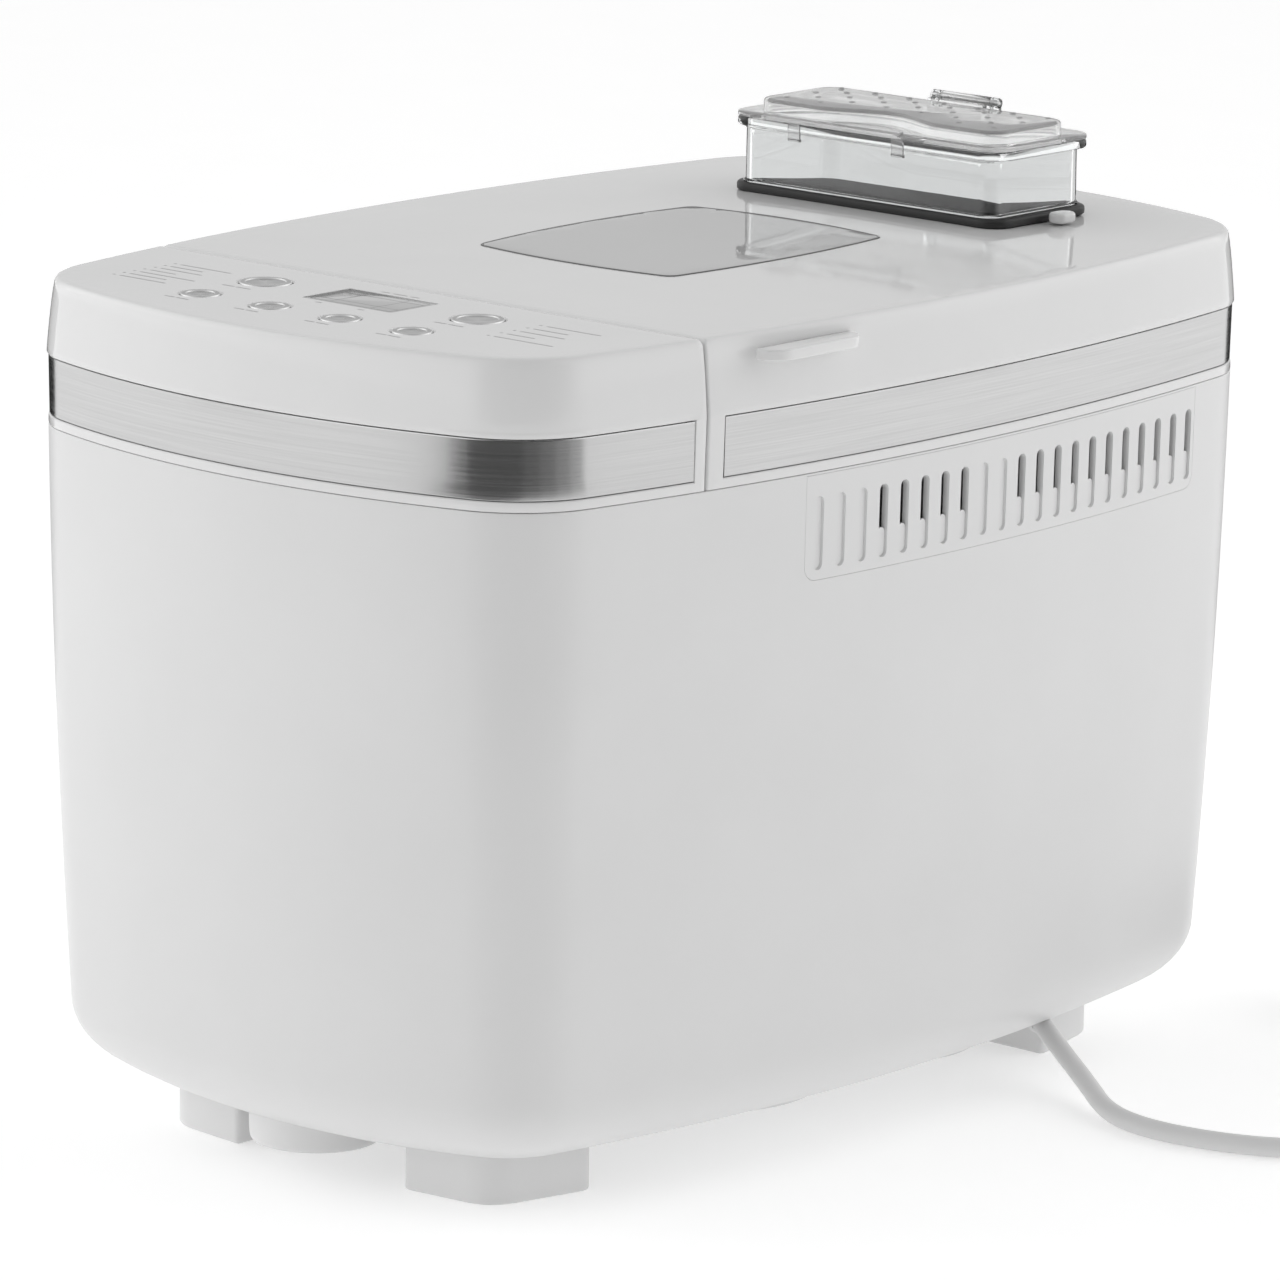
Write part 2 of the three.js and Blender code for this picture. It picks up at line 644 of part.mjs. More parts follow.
function breadPan() {
  const p = PAN;
  const ring = (z, x, y, r) => {
    const points = [];
    for (let i = 0; i < 20; i += 1) {
      const angle = (2 * Math.PI * i) / 20 + Math.PI / 20;
      const [c, s] = [Math.cos(angle), Math.sin(angle)];
      points.push([Math.sign(c) * (x - r) + r * c, PAN_Y + Math.sign(s) * (y - r) + r * s]);
    }
    return { z, points };
  };
  const heart = [0, PAN_Y];
  const low = [p.x - p.taper, p.y - p.taper];
  let made = loft([
    ring(74, low[0] - 10, low[1] - 10, 16),
    ring(p.low - 2, low[0] - 8, low[1] - 8, 16),
    ring(p.low, low[0] - 3, low[1] - 3, p.r - 2),
    ring(p.low + 4, low[0], low[1], p.r),
    ring(p.high, p.x, p.y, p.r),
  ], heart);
  made = made.add(loft([p.high - 1.8, p.high].map((z) => ring(z, p.x + 3, p.y + 3, p.r + 3)), heart));
  const w = p.wall;
  made = made.subtract(loft([
    ring(p.low + w, low[0] - w - 3, low[1] - w - 3, p.r - 3),
    ring(p.low + 4 + w, low[0] - w, low[1] - w, p.r - 1),
    ring(p.high + 5, p.x - w, p.y - w, p.r - 1),
  ], heart));
  made = made.subtract(loft([70, p.low - 2].map((z) => ring(z, low[0] - 12, low[1] - 12, 14)), heart));
  for (const shaftY of SHAFT_Y) {
    made = made.add(sleeve(0, shaftY, 4.4, 9, [78, p.low + 1]));
    made = made.subtract(post(0, shaftY, 4.4, [70, 100]));
  }
  for (const side of [-1, 1]) {
    const x = side > 0 ? [68, 70.4] : [-70.4, -68];
    made = made.add(block(x, [PAN_Y - 7, PAN_Y + 7], [p.high - 8, p.high + 10]));
  }
  return made.subtract(rodX([-80, 80], PAN_Y, BAIL_Z, 3.3, 12));
}

function panHandle() {
  const z = BAIL_Z;
  const arm = loopPoints(76.5, PAN_Y + 10, PAN_Y + 108, 24, z);
  const end = [[62, PAN_Y, z], [67, PAN_Y, z], [72, PAN_Y, z], [75.6, PAN_Y + 2.2, z]];
  const points = [...end, ...arm, ...end.map(([x, y, level]) => [-x, y, level]).reverse()];
  return solid(tube(points, 2.2, 30, 6));
}

function paddleShaft(y) {
  let made = post(0, y, SHAFT_R, [74.5, 112]);
  made = made.add(post(0, y, 11, [73.6, 76.6]));
  for (const low of [3, -6]) {
    made = made.add(block([-8, 8], [y + low, y + low + 3], [65.5, 75]));
  }
  return made;
}

function paddle(y) {
  const hub = turned([[4.4, 86.6], [10, 86.6], [9, 98], [7, 110], [4.4, 110], [4.4, 86.6]], 16);
  hub.translate(0, y, 0);
  const shape = new THREE.Shape();
  shape.moveTo(6, 87);
  shape.lineTo(34, 87);
  shape.quadraticCurveTo(37, 96, 30, 104);
  shape.quadraticCurveTo(18, 106, 6, 100);
  shape.lineTo(6, 87);
  const blade = new THREE.ExtrudeGeometry(shape, { depth: 3, bevelEnabled: false, curveSegments: 6 });
  blade.rotateX(Math.PI / 2);
  blade.translate(0, y + 1.5, 0);
  return solid(hub).add(solid(blade));
}

// ---- drive ----
const MOTOR_PULLEY_R = 9;
const LARGE_PULLEY_R = 42;
const SMALL_PULLEY_R = 20;
const LOWER_BELT_Z = [21.4, 27.4];
const UPPER_BELT_Z = [31.4, 37.4];
const BELT = 1.6;

function drivePulley(y, double) {
  const bore = SHAFT_R + GAP;
  const lower = [[bore, 20], [LARGE_PULLEY_R + 2, 20], [LARGE_PULLEY_R + 2, 20.8], [LARGE_PULLEY_R, 20.8],
    [LARGE_PULLEY_R, 28.2], [LARGE_PULLEY_R + 2, 28.2], [LARGE_PULLEY_R + 2, 29], [SMALL_PULLEY_R + 2, 30]];
  const lonely = [[bore, 26], [9, 26], [9, 30], [SMALL_PULLEY_R + 2, 30]];
  const rim = SMALL_PULLEY_R + 2;
  const groove = [[SMALL_PULLEY_R, 30.8], [SMALL_PULLEY_R, 38.2]];
  const upper = [[rim, 30.8], ...groove, [rim, 38.2], [rim, 39], [bore, 39]];
  const start = double ? lower : lonely;
  const made = turned([...start, ...upper, start[0]], 20);
  made.translate(0, y, 0);
  return solid(made);
}

function driveShaft(y) {
  return post(0, y, SHAFT_R, [18.2, 65.2]).add(block([-9, 9], [y - 2, y + 2], [64.6, 72.4]));
}

function bearing(y) {
  return sleeve(0, y, SHAFT_R + GAP, 10, [45, 63.6]);
}

function motorPulley() {
  const r = MOTOR_PULLEY_R;
  const made = turned([
    [0, 11], [3, 11], [3, 19.5], [r + 2, 19.5], [r + 2, 20.8], [r, 20.8],
    [r, 28.2], [r + 2, 28.2], [r + 2, 29.4], [3, 29.4], [3, 48.6], [0, 48.6],
  ], 16);
  made.translate(MOTOR.x, MOTOR.y, 0);
  return solid(made);
}

// A flat loop round two pulleys, centre to centre from a to b.
function belt(a, rA, b, rB, z) {
  const dx = b[0] - a[0];
  const dy = b[1] - a[1];
  const heading = Math.atan2(dy, dx);
  const lean = Math.acos((rA - rB) / Math.hypot(dx, dy));
  const loop = (extra, low, high) => {
    const shape = new THREE.Shape();
    shape.absarc(a[0], a[1], rA + extra, heading + lean, heading - lean + 2 * Math.PI, false);
    shape.absarc(b[0], b[1], rB + extra, heading - lean, heading + lean, false);
    shape.closePath();
    const options = { depth: high - low, bevelEnabled: false, curveSegments: 10 };
    const made = new THREE.ExtrudeGeometry(shape, options);
    made.translate(0, 0, low);
    return solid(made);
  };
  return loop(0.4 + BELT, z[0], z[1]).subtract(loop(0.4, z[0] - 1, z[1] + 1));
}

function driveFrame() {
  let made = block([-62, 62], [-176, 132], [42, 44.6]);
  for (const [x, y] of [[-48, -130], [48, -130], [-56, 124], [56, 124], [-56, 0], [56, 0]]) {
    made = made.add(post(x, y, 5, [FLOOR_Z, 43], 8));
  }
  for (const y of SHAFT_Y) {
    made = made.subtract(post(0, y, 4.6, [40, 50]));
  }
  made = made.subtract(post(MOTOR.x, MOTOR.y, 8, [40, 50]));
  for (const y of [-112, 45]) {
    made = made.subtract(plate(34, [y - 16, y + 16], 8, [40, 50]));
  }
  return made;
}

function motor() {
  const r = MOTOR.r;
  const made = turned([
    [0, 49], [8, 49], [8, 45], [14, 45], [14, 48], [r, 48],
    [r + 1, 50], [r + 1, 92], [r - 2, 95], [12, 95], [12, 101], [0, 101],
  ], 16);
  made.translate(MOTOR.x, MOTOR.y, 0);
  let body = solid(made);
  body = body.add(block([MOTOR.x - 36, MOTOR.x + 36], [MOTOR.y - 9, MOTOR.y + 9], [60, 84]));
  return body.subtract(post(MOTOR.x, MOTOR.y, 3.4, [40, 49.2]));
}

// ---- mains lead ----
const LEAD_ROUTE = [
  CORD_EXIT, [104.6, 87, 15.1], [112.7, 83.6, 11.7], [121.2, 79.8, 8.5], [130.6, 74.5, 5.8],
  [142.2, 66.6, 4.1], [150.5, 62.4, 3.5], [159.5, 59.4, 3.4], [171, 58, 3.4],
  [185, 59.3, 3.4], [199, 63.1, 3.4], [212, 69.6, 3.4], [223.4, 78.8, 3.4], [232.8, 90.4, 3.4],
  [239.8, 103.9, 3.4], [244.4, 118.8, 3.4], [246.2, 134, 3.4], [246.3, 150, 3.4], [246.3, 166, 3.4],
  [246.3, 181.2, 3.4],
];

function cordGland() {
  const inside = alongLead(-27);
  const made = rodBetween(inside, alongLead(-0.4), 5.8, 4.2);
  return made.add(rodBetween(inside, alongLead(-22), 6.3, 6.3));
}

function cordLead() {
  return solid(tube(LEAD_ROUTE, CORD_R, 26, 10));
}

function cordCoil() {
  const { inner, outer, low, high } = COIL;
  const outside = [[inner + 1, low], [outer - 1, low], [outer, low + 1], [outer - 3, high]];
  const made = turned([...outside, [inner + 3, high], [inner, low + 1], [inner + 1, low]], 24);
  made.translate(COIL.x, COIL.y, 0);
  return solid(made);
}

// A strap round the bundle on the coil's -X side.
function cordTie() {
  const y = [COIL.y - 5, COIL.y + 5];
  const x = [COIL.x - COIL.outer - 1.9, COIL.x - COIL.inner + 1.9];
  const outside = block(x, y, [0, COIL.high + 1.4]);
  const strap = 1.2;
  const inside = block([x[0] + strap, x[1] - strap], [y[0] - 1, y[1] + 1], [0.7, COIL.high + 0.4]);
  return outside.subtract(inside);
}

const PLUG = { x: 162, y: 241.3, z: 8.3, tilt: 15 }; // where the lead enters it, and its tilt in degrees

function placedPlug(profile, offsetY = 0, sides = 16) {
  const made = turned(profile, sides);
  made.rotateY(-Math.PI / 2);
  made.translate(0, offsetY, 0);
  made.rotateY((PLUG.tilt * Math.PI) / 180);
  made.translate(PLUG.x, PLUG.y, PLUG.z);
  return solid(made);
}

function plugBody() {
  const sleeveEnd = [[0, 0], [4.4, 0], [5.6, 12], [7.4, 22]];
  const grip = [[12, 27], [16.5, 31], [17.6, 34], [17.6, 45], [16.8, 46.2], [0, 46.2]];
  return placedPlug([...sleeveEnd, ...grip]);
}

function plugPin(offset) {
  return placedPlug([[0, 46.6], [2.4, 46.6], [2.4, 64], [1.6, 65.4], [0, 65.4]], offset, 10);
}

// ---- scene graph ----
const paint = {
  shell: { color: 0xdcdcdc, roughness: 0.38, metalness: 0 },
  gloss: { color: 0xe2e2e2, roughness: 0.12, metalness: 0 },
  steel: { color: 0xb9b9ba, roughness: 0.32, metalness: 1 },
  chrome: { color: 0xc8c8c8, roughness: 0.1, metalness: 1 },
  lining: { color: 0x9a9c9e, roughness: 0.4, metalness: 1 },
  coating: { color: 0x3a3a3c, roughness: 0.55, metalness: 0.2 },
  clear: { color: 0xf2f6f6, roughness: 0.05, metalness: 0 },
  smoke: { color: 0x9b9fa2, roughness: 0.05, metalness: 0 },
  dark: { color: 0x2b2b2d, roughness: 0.6, metalness: 0 },
  board: { color: 0x2f5a3a, roughness: 0.6, metalness: 0 },
  display: { color: 0x9aa39a, roughness: 0.2, metalness: 0 },
  lead: { color: 0xb4b4b4, roughness: 0.5, metalness: 0 },
};

const machine = new THREE.Group();
machine.position.y = ORIGIN_SHIFT_Y;

function add(name, body, finish) {
  const mesh = new THREE.Mesh(surface(body), new THREE.MeshStandardMaterial(paint[finish]));
  mesh.name = name;
  machine.add(mesh);
}

add('outer_housing', outerHousing(), 'shell');
add('vent_panel_right', ventPanel('right'), 'shell');
add('vent_panel_left', ventPanel('left'), 'shell');
add('base_plate', basePlate(), 'shell');
for (const [end, y] of [['front', -1], ['rear', 1]]) {
  add(`foot_${end}_left`, foot(-1, y), 'shell');
  add(`foot_${end}_right`, foot(1, y), 'shell');
}
add('motor_end_cover', motorEndCover(), 'shell');
add('panel_cover', panelCover(), 'shell');
const bandZ = [BAND_Z[0] + GAP, BAND_Z[1] - GAP];
add('panel_band', bandStrip(plans.panel, PANEL_HEART, [1, 0.2], bandZ, PANEL_BAND_END), 'steel');
add('lcd_window', lcdWindow(), 'display');
add('control_board', controlBoard(), 'board');
LARGE_BUTTONS.forEach(([x, y], i) => add(`button_large_${i + 1}`, button(x, y, LARGE_BUTTON_R), 'chrome'));
SMALL_BUTTONS.forEach(([x, y], i) => add(`button_small_${i + 1}`, button(x, y, SMALL_BUTTON_R), 'chrome'));

add('lid_cover', lidCover(), 'gloss');
add('lid_band', bandStrip(plans.lid, LID_HEART, [1, 0.2], bandZ, LID_BAND_END), 'steel');
add('lid_window', lidWindow(), 'smoke');
add('lid_liner', lidLiner(), 'lining');
add('lid_seal', lidSeal(), 'dark');
add('lid_tab_right', lidTab('right'), 'gloss');
add('lid_tab_left', lidTab('left'), 'gloss');
add('lid_hinge_pin', rodX([-61, 61], HINGE_Y, HINGE_Z, PIN_R), 'steel');

add('dispenser_flange', dispenserFlange(), 'dark');
add('dispenser_box', dispenserBox(), 'clear');
add('dispenser_lid', dispenserLid(), 'clear');
const dispenserPin = rodX([-14, 14], DISPENSER_HINGE.y, DISPENSER_HINGE.z, DISPENSER_HINGE.pin, 8);
add('dispenser_hinge_pin', dispenserPin, 'steel');
add('dispenser_flap', dispenserFlap(), 'dark');
add('dispenser_catch', dispenserCatch(), 'gloss');

add('chamber_liner', chamberLiner(), 'lining');
add('heating_element', heatingElement(), 'steel');
add('temperature_sensor', temperatureSensor(), 'steel');
add('bread_pan', breadPan(), 'coating');
add('pan_handle', panHandle(), 'steel');
for (const [i, name] of ['front', 'rear'].entries()) {
  const y = SHAFT_Y[i];
  add(`paddle_shaft_${name}`, paddleShaft(y), 'steel');
  add(`paddle_${name}`, paddle(y), 'coating');
  add(`drive_shaft_${name}`, driveShaft(y), 'steel');
  add(`drive_pulley_${name}`, drivePulley(y, name === 'front'), 'dark');
  add(`bearing_${name}`, bearing(y), 'steel');
}
add('motor_pulley', motorPulley(), 'steel');
const motorCentre = [MOTOR.x, MOTOR.y];
const [frontShaft, rearShaft] = SHAFT_Y.map((y) => [0, y]);
const lowerBelt = belt(frontShaft, LARGE_PULLEY_R, motorCentre, MOTOR_PULLEY_R, LOWER_BELT_Z);
const upperBelt = belt(rearShaft, SMALL_PULLEY_R, frontShaft, SMALL_PULLEY_R, UPPER_BELT_Z);
add('belt_lower', lowerBelt, 'dark');
add('belt_upper', upperBelt, 'dark');
add('drive_frame', driveFrame(), 'lining');
add('motor', motor(), 'lining');

add('cord_gland', cordGland(), 'lead');
add('cord_lead', cordLead(), 'lead');
add('cord_coil', cordCoil(), 'lead');
add('cord_tie', cordTie(), 'dark');
add('plug_body', plugBody(), 'lead');
add('plug_pin_left', plugPin(-9.5), 'chrome');
add('plug_pin_right', plugPin(9.5), 'chrome');

export default machine;
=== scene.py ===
import math

import bmesh
import bpy
from mathutils import Matrix, Vector
from mathutils.geometry import delaunay_2d_cdt


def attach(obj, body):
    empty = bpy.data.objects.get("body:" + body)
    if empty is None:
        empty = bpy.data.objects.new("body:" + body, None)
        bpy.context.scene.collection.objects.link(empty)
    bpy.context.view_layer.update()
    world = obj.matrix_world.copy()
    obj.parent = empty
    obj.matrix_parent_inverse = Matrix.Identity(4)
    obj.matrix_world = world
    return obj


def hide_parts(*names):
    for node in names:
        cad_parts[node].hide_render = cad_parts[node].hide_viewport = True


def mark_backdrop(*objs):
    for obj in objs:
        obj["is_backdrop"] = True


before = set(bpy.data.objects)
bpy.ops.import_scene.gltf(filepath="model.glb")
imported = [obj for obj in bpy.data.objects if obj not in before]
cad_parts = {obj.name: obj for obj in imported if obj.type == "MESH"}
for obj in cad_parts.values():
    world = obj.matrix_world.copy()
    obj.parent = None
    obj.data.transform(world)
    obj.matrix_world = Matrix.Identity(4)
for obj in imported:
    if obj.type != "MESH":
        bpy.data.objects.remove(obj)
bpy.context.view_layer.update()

# ---- dimensions, as in the CAD source ----
FRAME_Y = -4.4  # from the machine's plan to the frame
HALF_WIDTH = 125
HALF_LENGTH = 196.8
SIDE_BOW = 21.4
END_BOW = 27.7
CORNER = 35.8
FLOOR_Z = 17
EDGE_Z = 42
EDGE_IN = 30
SEAM_Z = 230
TOP_Z = 277.2
CROWN = 1.8
CROWN_Y = 44
SEAM_Y = -109.05
VENT_Y = (-66.2, 140.6)
VENT_Z = (195.4, 229.2)
SLOT_FIRST = -60.2
SLOT_PITCH = 9.84
SLOTS = 21
HINGE_Y = 201.6
HINGE_Z = 229
HINGE = (0, HINGE_Y, HINGE_Z)
PAN_Y = 45
PAN_LONGER = 44  # the pan's half length less its half width
CHAMBER_X = 91
CHAMBER_HALF = 128
LARGE_R = 8.4
SMALL_R = 6.4
LARGE_BUTTONS = [(-45.6, -134), (45.6, -134)]
SMALL_BUTTONS = [(-45.4, -163.6), (-15.1, -163.6), (15.1, -163.6), (45.4, -163.6)]
CORD_R = 3.3
CORD_EXIT = (96.7, 90.1, 18.6)
CORD_WAY = (0.862, -0.362, -0.355)
COIL = (206.7, 205)
PLUG = (162, 241.3, 8.3)
PLUG_TILT = math.radians(15)
MOTOR = (-6, -150)  # middle of the motor and its cap
SHAFTS_Y = (-10, 100)
DISPLAY = (0, -134.2)
WINDOW_Y = 13
TRAY_Y = 129
TRAY_HINGE = (0, 158, 310)
CHUTE = (0, TRAY_Y, 53, 23.5, 4)  # the opening through the lid: middle, half sizes and corner
HINGE_KNUCKLE = (1.9, 4, 0.4, 0.4)  # bore, radius, and the broken edge inward and along
TRAY_KNUCKLE = (0.8, 1.8, 0.2, 0.3)


def point(x, y, z):
    return (x / 1000, (y + FRAME_Y) / 1000, z / 1000)


# ---- camera ----
def make_camera():
    azimuth, elevation, roll = (math.radians(a) for a in (41.386, 12.459, 0.869))
    back = Vector((
        math.sin(azimuth) * math.cos(elevation),
        -math.cos(azimuth) * math.cos(elevation),
        math.sin(elevation),
    ))
    level = Vector((math.cos(azimuth), math.sin(azimuth), 0))
    rise = back.cross(level)
    right = level * math.cos(roll) + rise * math.sin(roll)
    up = rise * math.cos(roll) - level * math.sin(roll)
    distance, focal = 2733.4927, 8347.757
    aim = Vector((0, 0, 150)) - right * (8.781 * distance / focal) - up * (6.993 * distance / focal)
    data = bpy.data.cameras.new("camera")
    data.sensor_width = 36
    data.lens = focal / 1280 * 36
    data.clip_end = 30
    camera = bpy.data.objects.new("camera", data)
    bpy.context.scene.collection.objects.link(camera)
    place = Vector(point(*(aim + back * distance)))
    camera.matrix_world = Matrix.Translation(place) @ Matrix((right, up, back)).transposed().to_4x4()
    bpy.context.scene.camera = camera


make_camera()

# ---- materials ----
def material(name, colour, roughness, **sockets):
    """A Principled material with fixed values, whose nodes the callers add to."""
    made = bpy.data.materials.new(name)
    made.use_nodes = True
    shader = made.node_tree.nodes["Principled BSDF"]
    values = {"Base Color": (*colour, 1), "Roughness": roughness, **sockets}
    for key, value in values.items():
        shader.inputs[key].default_value = value
    return made


def node(made, kind, **inputs):
    new = made.node_tree.nodes.new(kind)
    for key, value in inputs.items():
        new.inputs[key].default_value = value
    return new


def link(made, start, end):
    made.node_tree.links.new(start, end)


def noise(made, scale, detail, stretch=(1, 1, 1)):
    place = made.node_tree.nodes.new("ShaderNodeTexCoord")
    mapping = node(made, "ShaderNodeMapping", Scale=stretch)
    texture = node(made, "ShaderNodeTexNoise", Scale=scale, Detail=detail)
    link(made, place.outputs["Object"], mapping.inputs["Vector"])
    link(made, mapping.outputs["Vector"], texture.inputs["Vector"])
    return texture.outputs["Fac"]


def ramp(made, source, low, high):
    """The source spread between two greys or two colours."""
    new = made.node_tree.nodes.new("ShaderNodeValToRGB")
    for element, value in zip(new.color_ramp.elements, (low, high)):
        element.color = (*value, 1) if hasattr(value, "__len__") else (value, value, value, 1)
    new.color_ramp.elements[0].position = 0.3
    new.color_ramp.elements[1].position = 0.7
    link(made, source, new.inputs["Fac"])
    return new.outputs["Color"]


def varied(made, colours=None, roughness=None, scale=18, detail=4, stretch=(1, 1, 1)):
    shader = made.node_tree.nodes["Principled BSDF"]
    cloud = noise(made, scale, detail, stretch)
    if colours:
        link(made, ramp(made, cloud, *colours), shader.inputs["Base Color"])
    if roughness:
        link(made, ramp(made, cloud, *roughness), shader.inputs["Roughness"])
    return made


def bumpy(made, scale, strength, distance, detail=2, stretch=(1, 1, 1)):
    shader = made.node_tree.nodes["Principled BSDF"]
    bump = node(made, "ShaderNodeBump", Strength=strength, Distance=distance)
    link(made, noise(made, scale, detail, stretch), bump.inputs["Height"])
    link(made, bump.outputs["Normal"], shader.inputs["Normal"])
    return made


def plastic(name, grey, roughness, grain, **sockets):
    made = material(name, (grey, grey, grey), roughness, **sockets)
    varied(made, (grey * 0.985, min(grey * 1.012, 1)), (roughness * 0.92, roughness * 1.08))
    return bumpy(made, 1400, grain, 0.00002)


def metal(name, grey, roughness, stretch, strength, **sockets):
    made = material(name, (grey, grey, grey), roughness, Metallic=1, **sockets)
    greys = (grey * 0.93, min(grey * 1.05, 1))
    varied(made, greys, (roughness * 0.8, roughness * 1.2), 900, 3, stretch)
    return bumpy(made, 1500, strength, 0.00001, 2, stretch)


housing_white = plastic("housing_white", 0.72, 0.34, 0.12, **{"Specular IOR Level": 0.45})
gloss_white = plastic("gloss_white", 0.74, 0.07, 0.01)
under_white = plastic("under_white", 0.75, 0.45, 0.2)
cord_grey = plastic("cord_grey", 0.73, 0.48, 0.25)
plug_grey = plastic("plug_grey", 0.42, 0.42, 0.2)
tie_black = plastic("tie_black", 0.03, 0.6, 0.3)
dark_trim = plastic("dark_trim", 0.035, 0.4, 0.05, **{"Specular IOR Level": 0.2})
dark_moulding = plastic("dark_moulding", 0.03, 0.6, 0.2, **{"Specular IOR Level": 0.08})
belt_rubber = bumpy(plastic("belt_rubber", 0.025, 0.8, 0.4), 900, 0.4, 0.00005)
seal_grey = plastic("seal_grey", 0.16, 0.65, 0.3)
print_grey = plastic("print_grey", 0.4, 0.5, 0.05)
steel_band = metal("steel_band", 0.545, 0.17, (0.02, 0.02, 2.4), 0.06, **{"Anisotropic": 0.4})
liner_steel = metal("liner_steel", 0.5, 0.34, (1, 1, 0.04), 0.12)
plain_steel = metal("plain_steel", 0.55, 0.3, (0.3, 0.3, 1), 0.1)
chrome = metal("chrome", 0.62, 0.09, (1, 1, 1), 0.02)
spun_steel = material("spun_steel", (0.6,) * 3, 0.28, Metallic=1, Anisotropic=0.9)
varied(spun_steel, (0.58, 0.62), (0.26, 0.3), 60, 2)
round_grain = spun_steel.node_tree.nodes.new("ShaderNodeTangent")
round_grain.direction_type = "RADIAL"
round_grain.axis = "Z"
spun_shader = spun_steel.node_tree.nodes["Principled BSDF"]
link(spun_steel, round_grain.outputs["Tangent"], spun_shader.inputs["Tangent"])
pan_coating = material("pan_coating", (0.035, 0.035, 0.038), 0.42)
varied(pan_coating, ((0.028, 0.028, 0.03), (0.05, 0.05, 0.053)), (0.36, 0.5), 2400, 2)
bumpy(pan_coating, 2600, 0.25, 0.00003)
glass = material("clear_plastic", (0.95, 0.96, 0.96), 0.02, **{"Transmission Weight": 1.0, "IOR": 1.4})
bumpy(glass, 120, 0.05, 0.0002)
clear_cover = material("clear_cover", (0.93,) * 3, 0.04, **{"Transmission Weight": 0.84, "IOR": 1.28})
bumpy(clear_cover, 120, 0.05, 0.0002)
tinted_glass = varied(material("tinted_glass", (0.48,) * 3, 0.03), (0.47, 0.5), None, 9, 2)
display_grey = material("display_grey", (0.48,) * 3, 0.05)
varied(display_grey, (0.45, 0.5), None, 60, 2, (0.2, 2, 1))
pip_grey = plastic("pip_grey", 0.4, 0.2, 0.05)
display_dark = plastic("display_dark", 0.14, 0.3, 0.05)
board_green = material("board_green", (0.03, 0.11, 0.05), 0.45)
varied(board_green, ((0.02, 0.08, 0.035), (0.05, 0.15, 0.07)), (0.35, 0.55), 400, 3)


# ---- making meshes ----
OPEN = (False, False)
LAST = (False, True)
SOLID = (True, True)


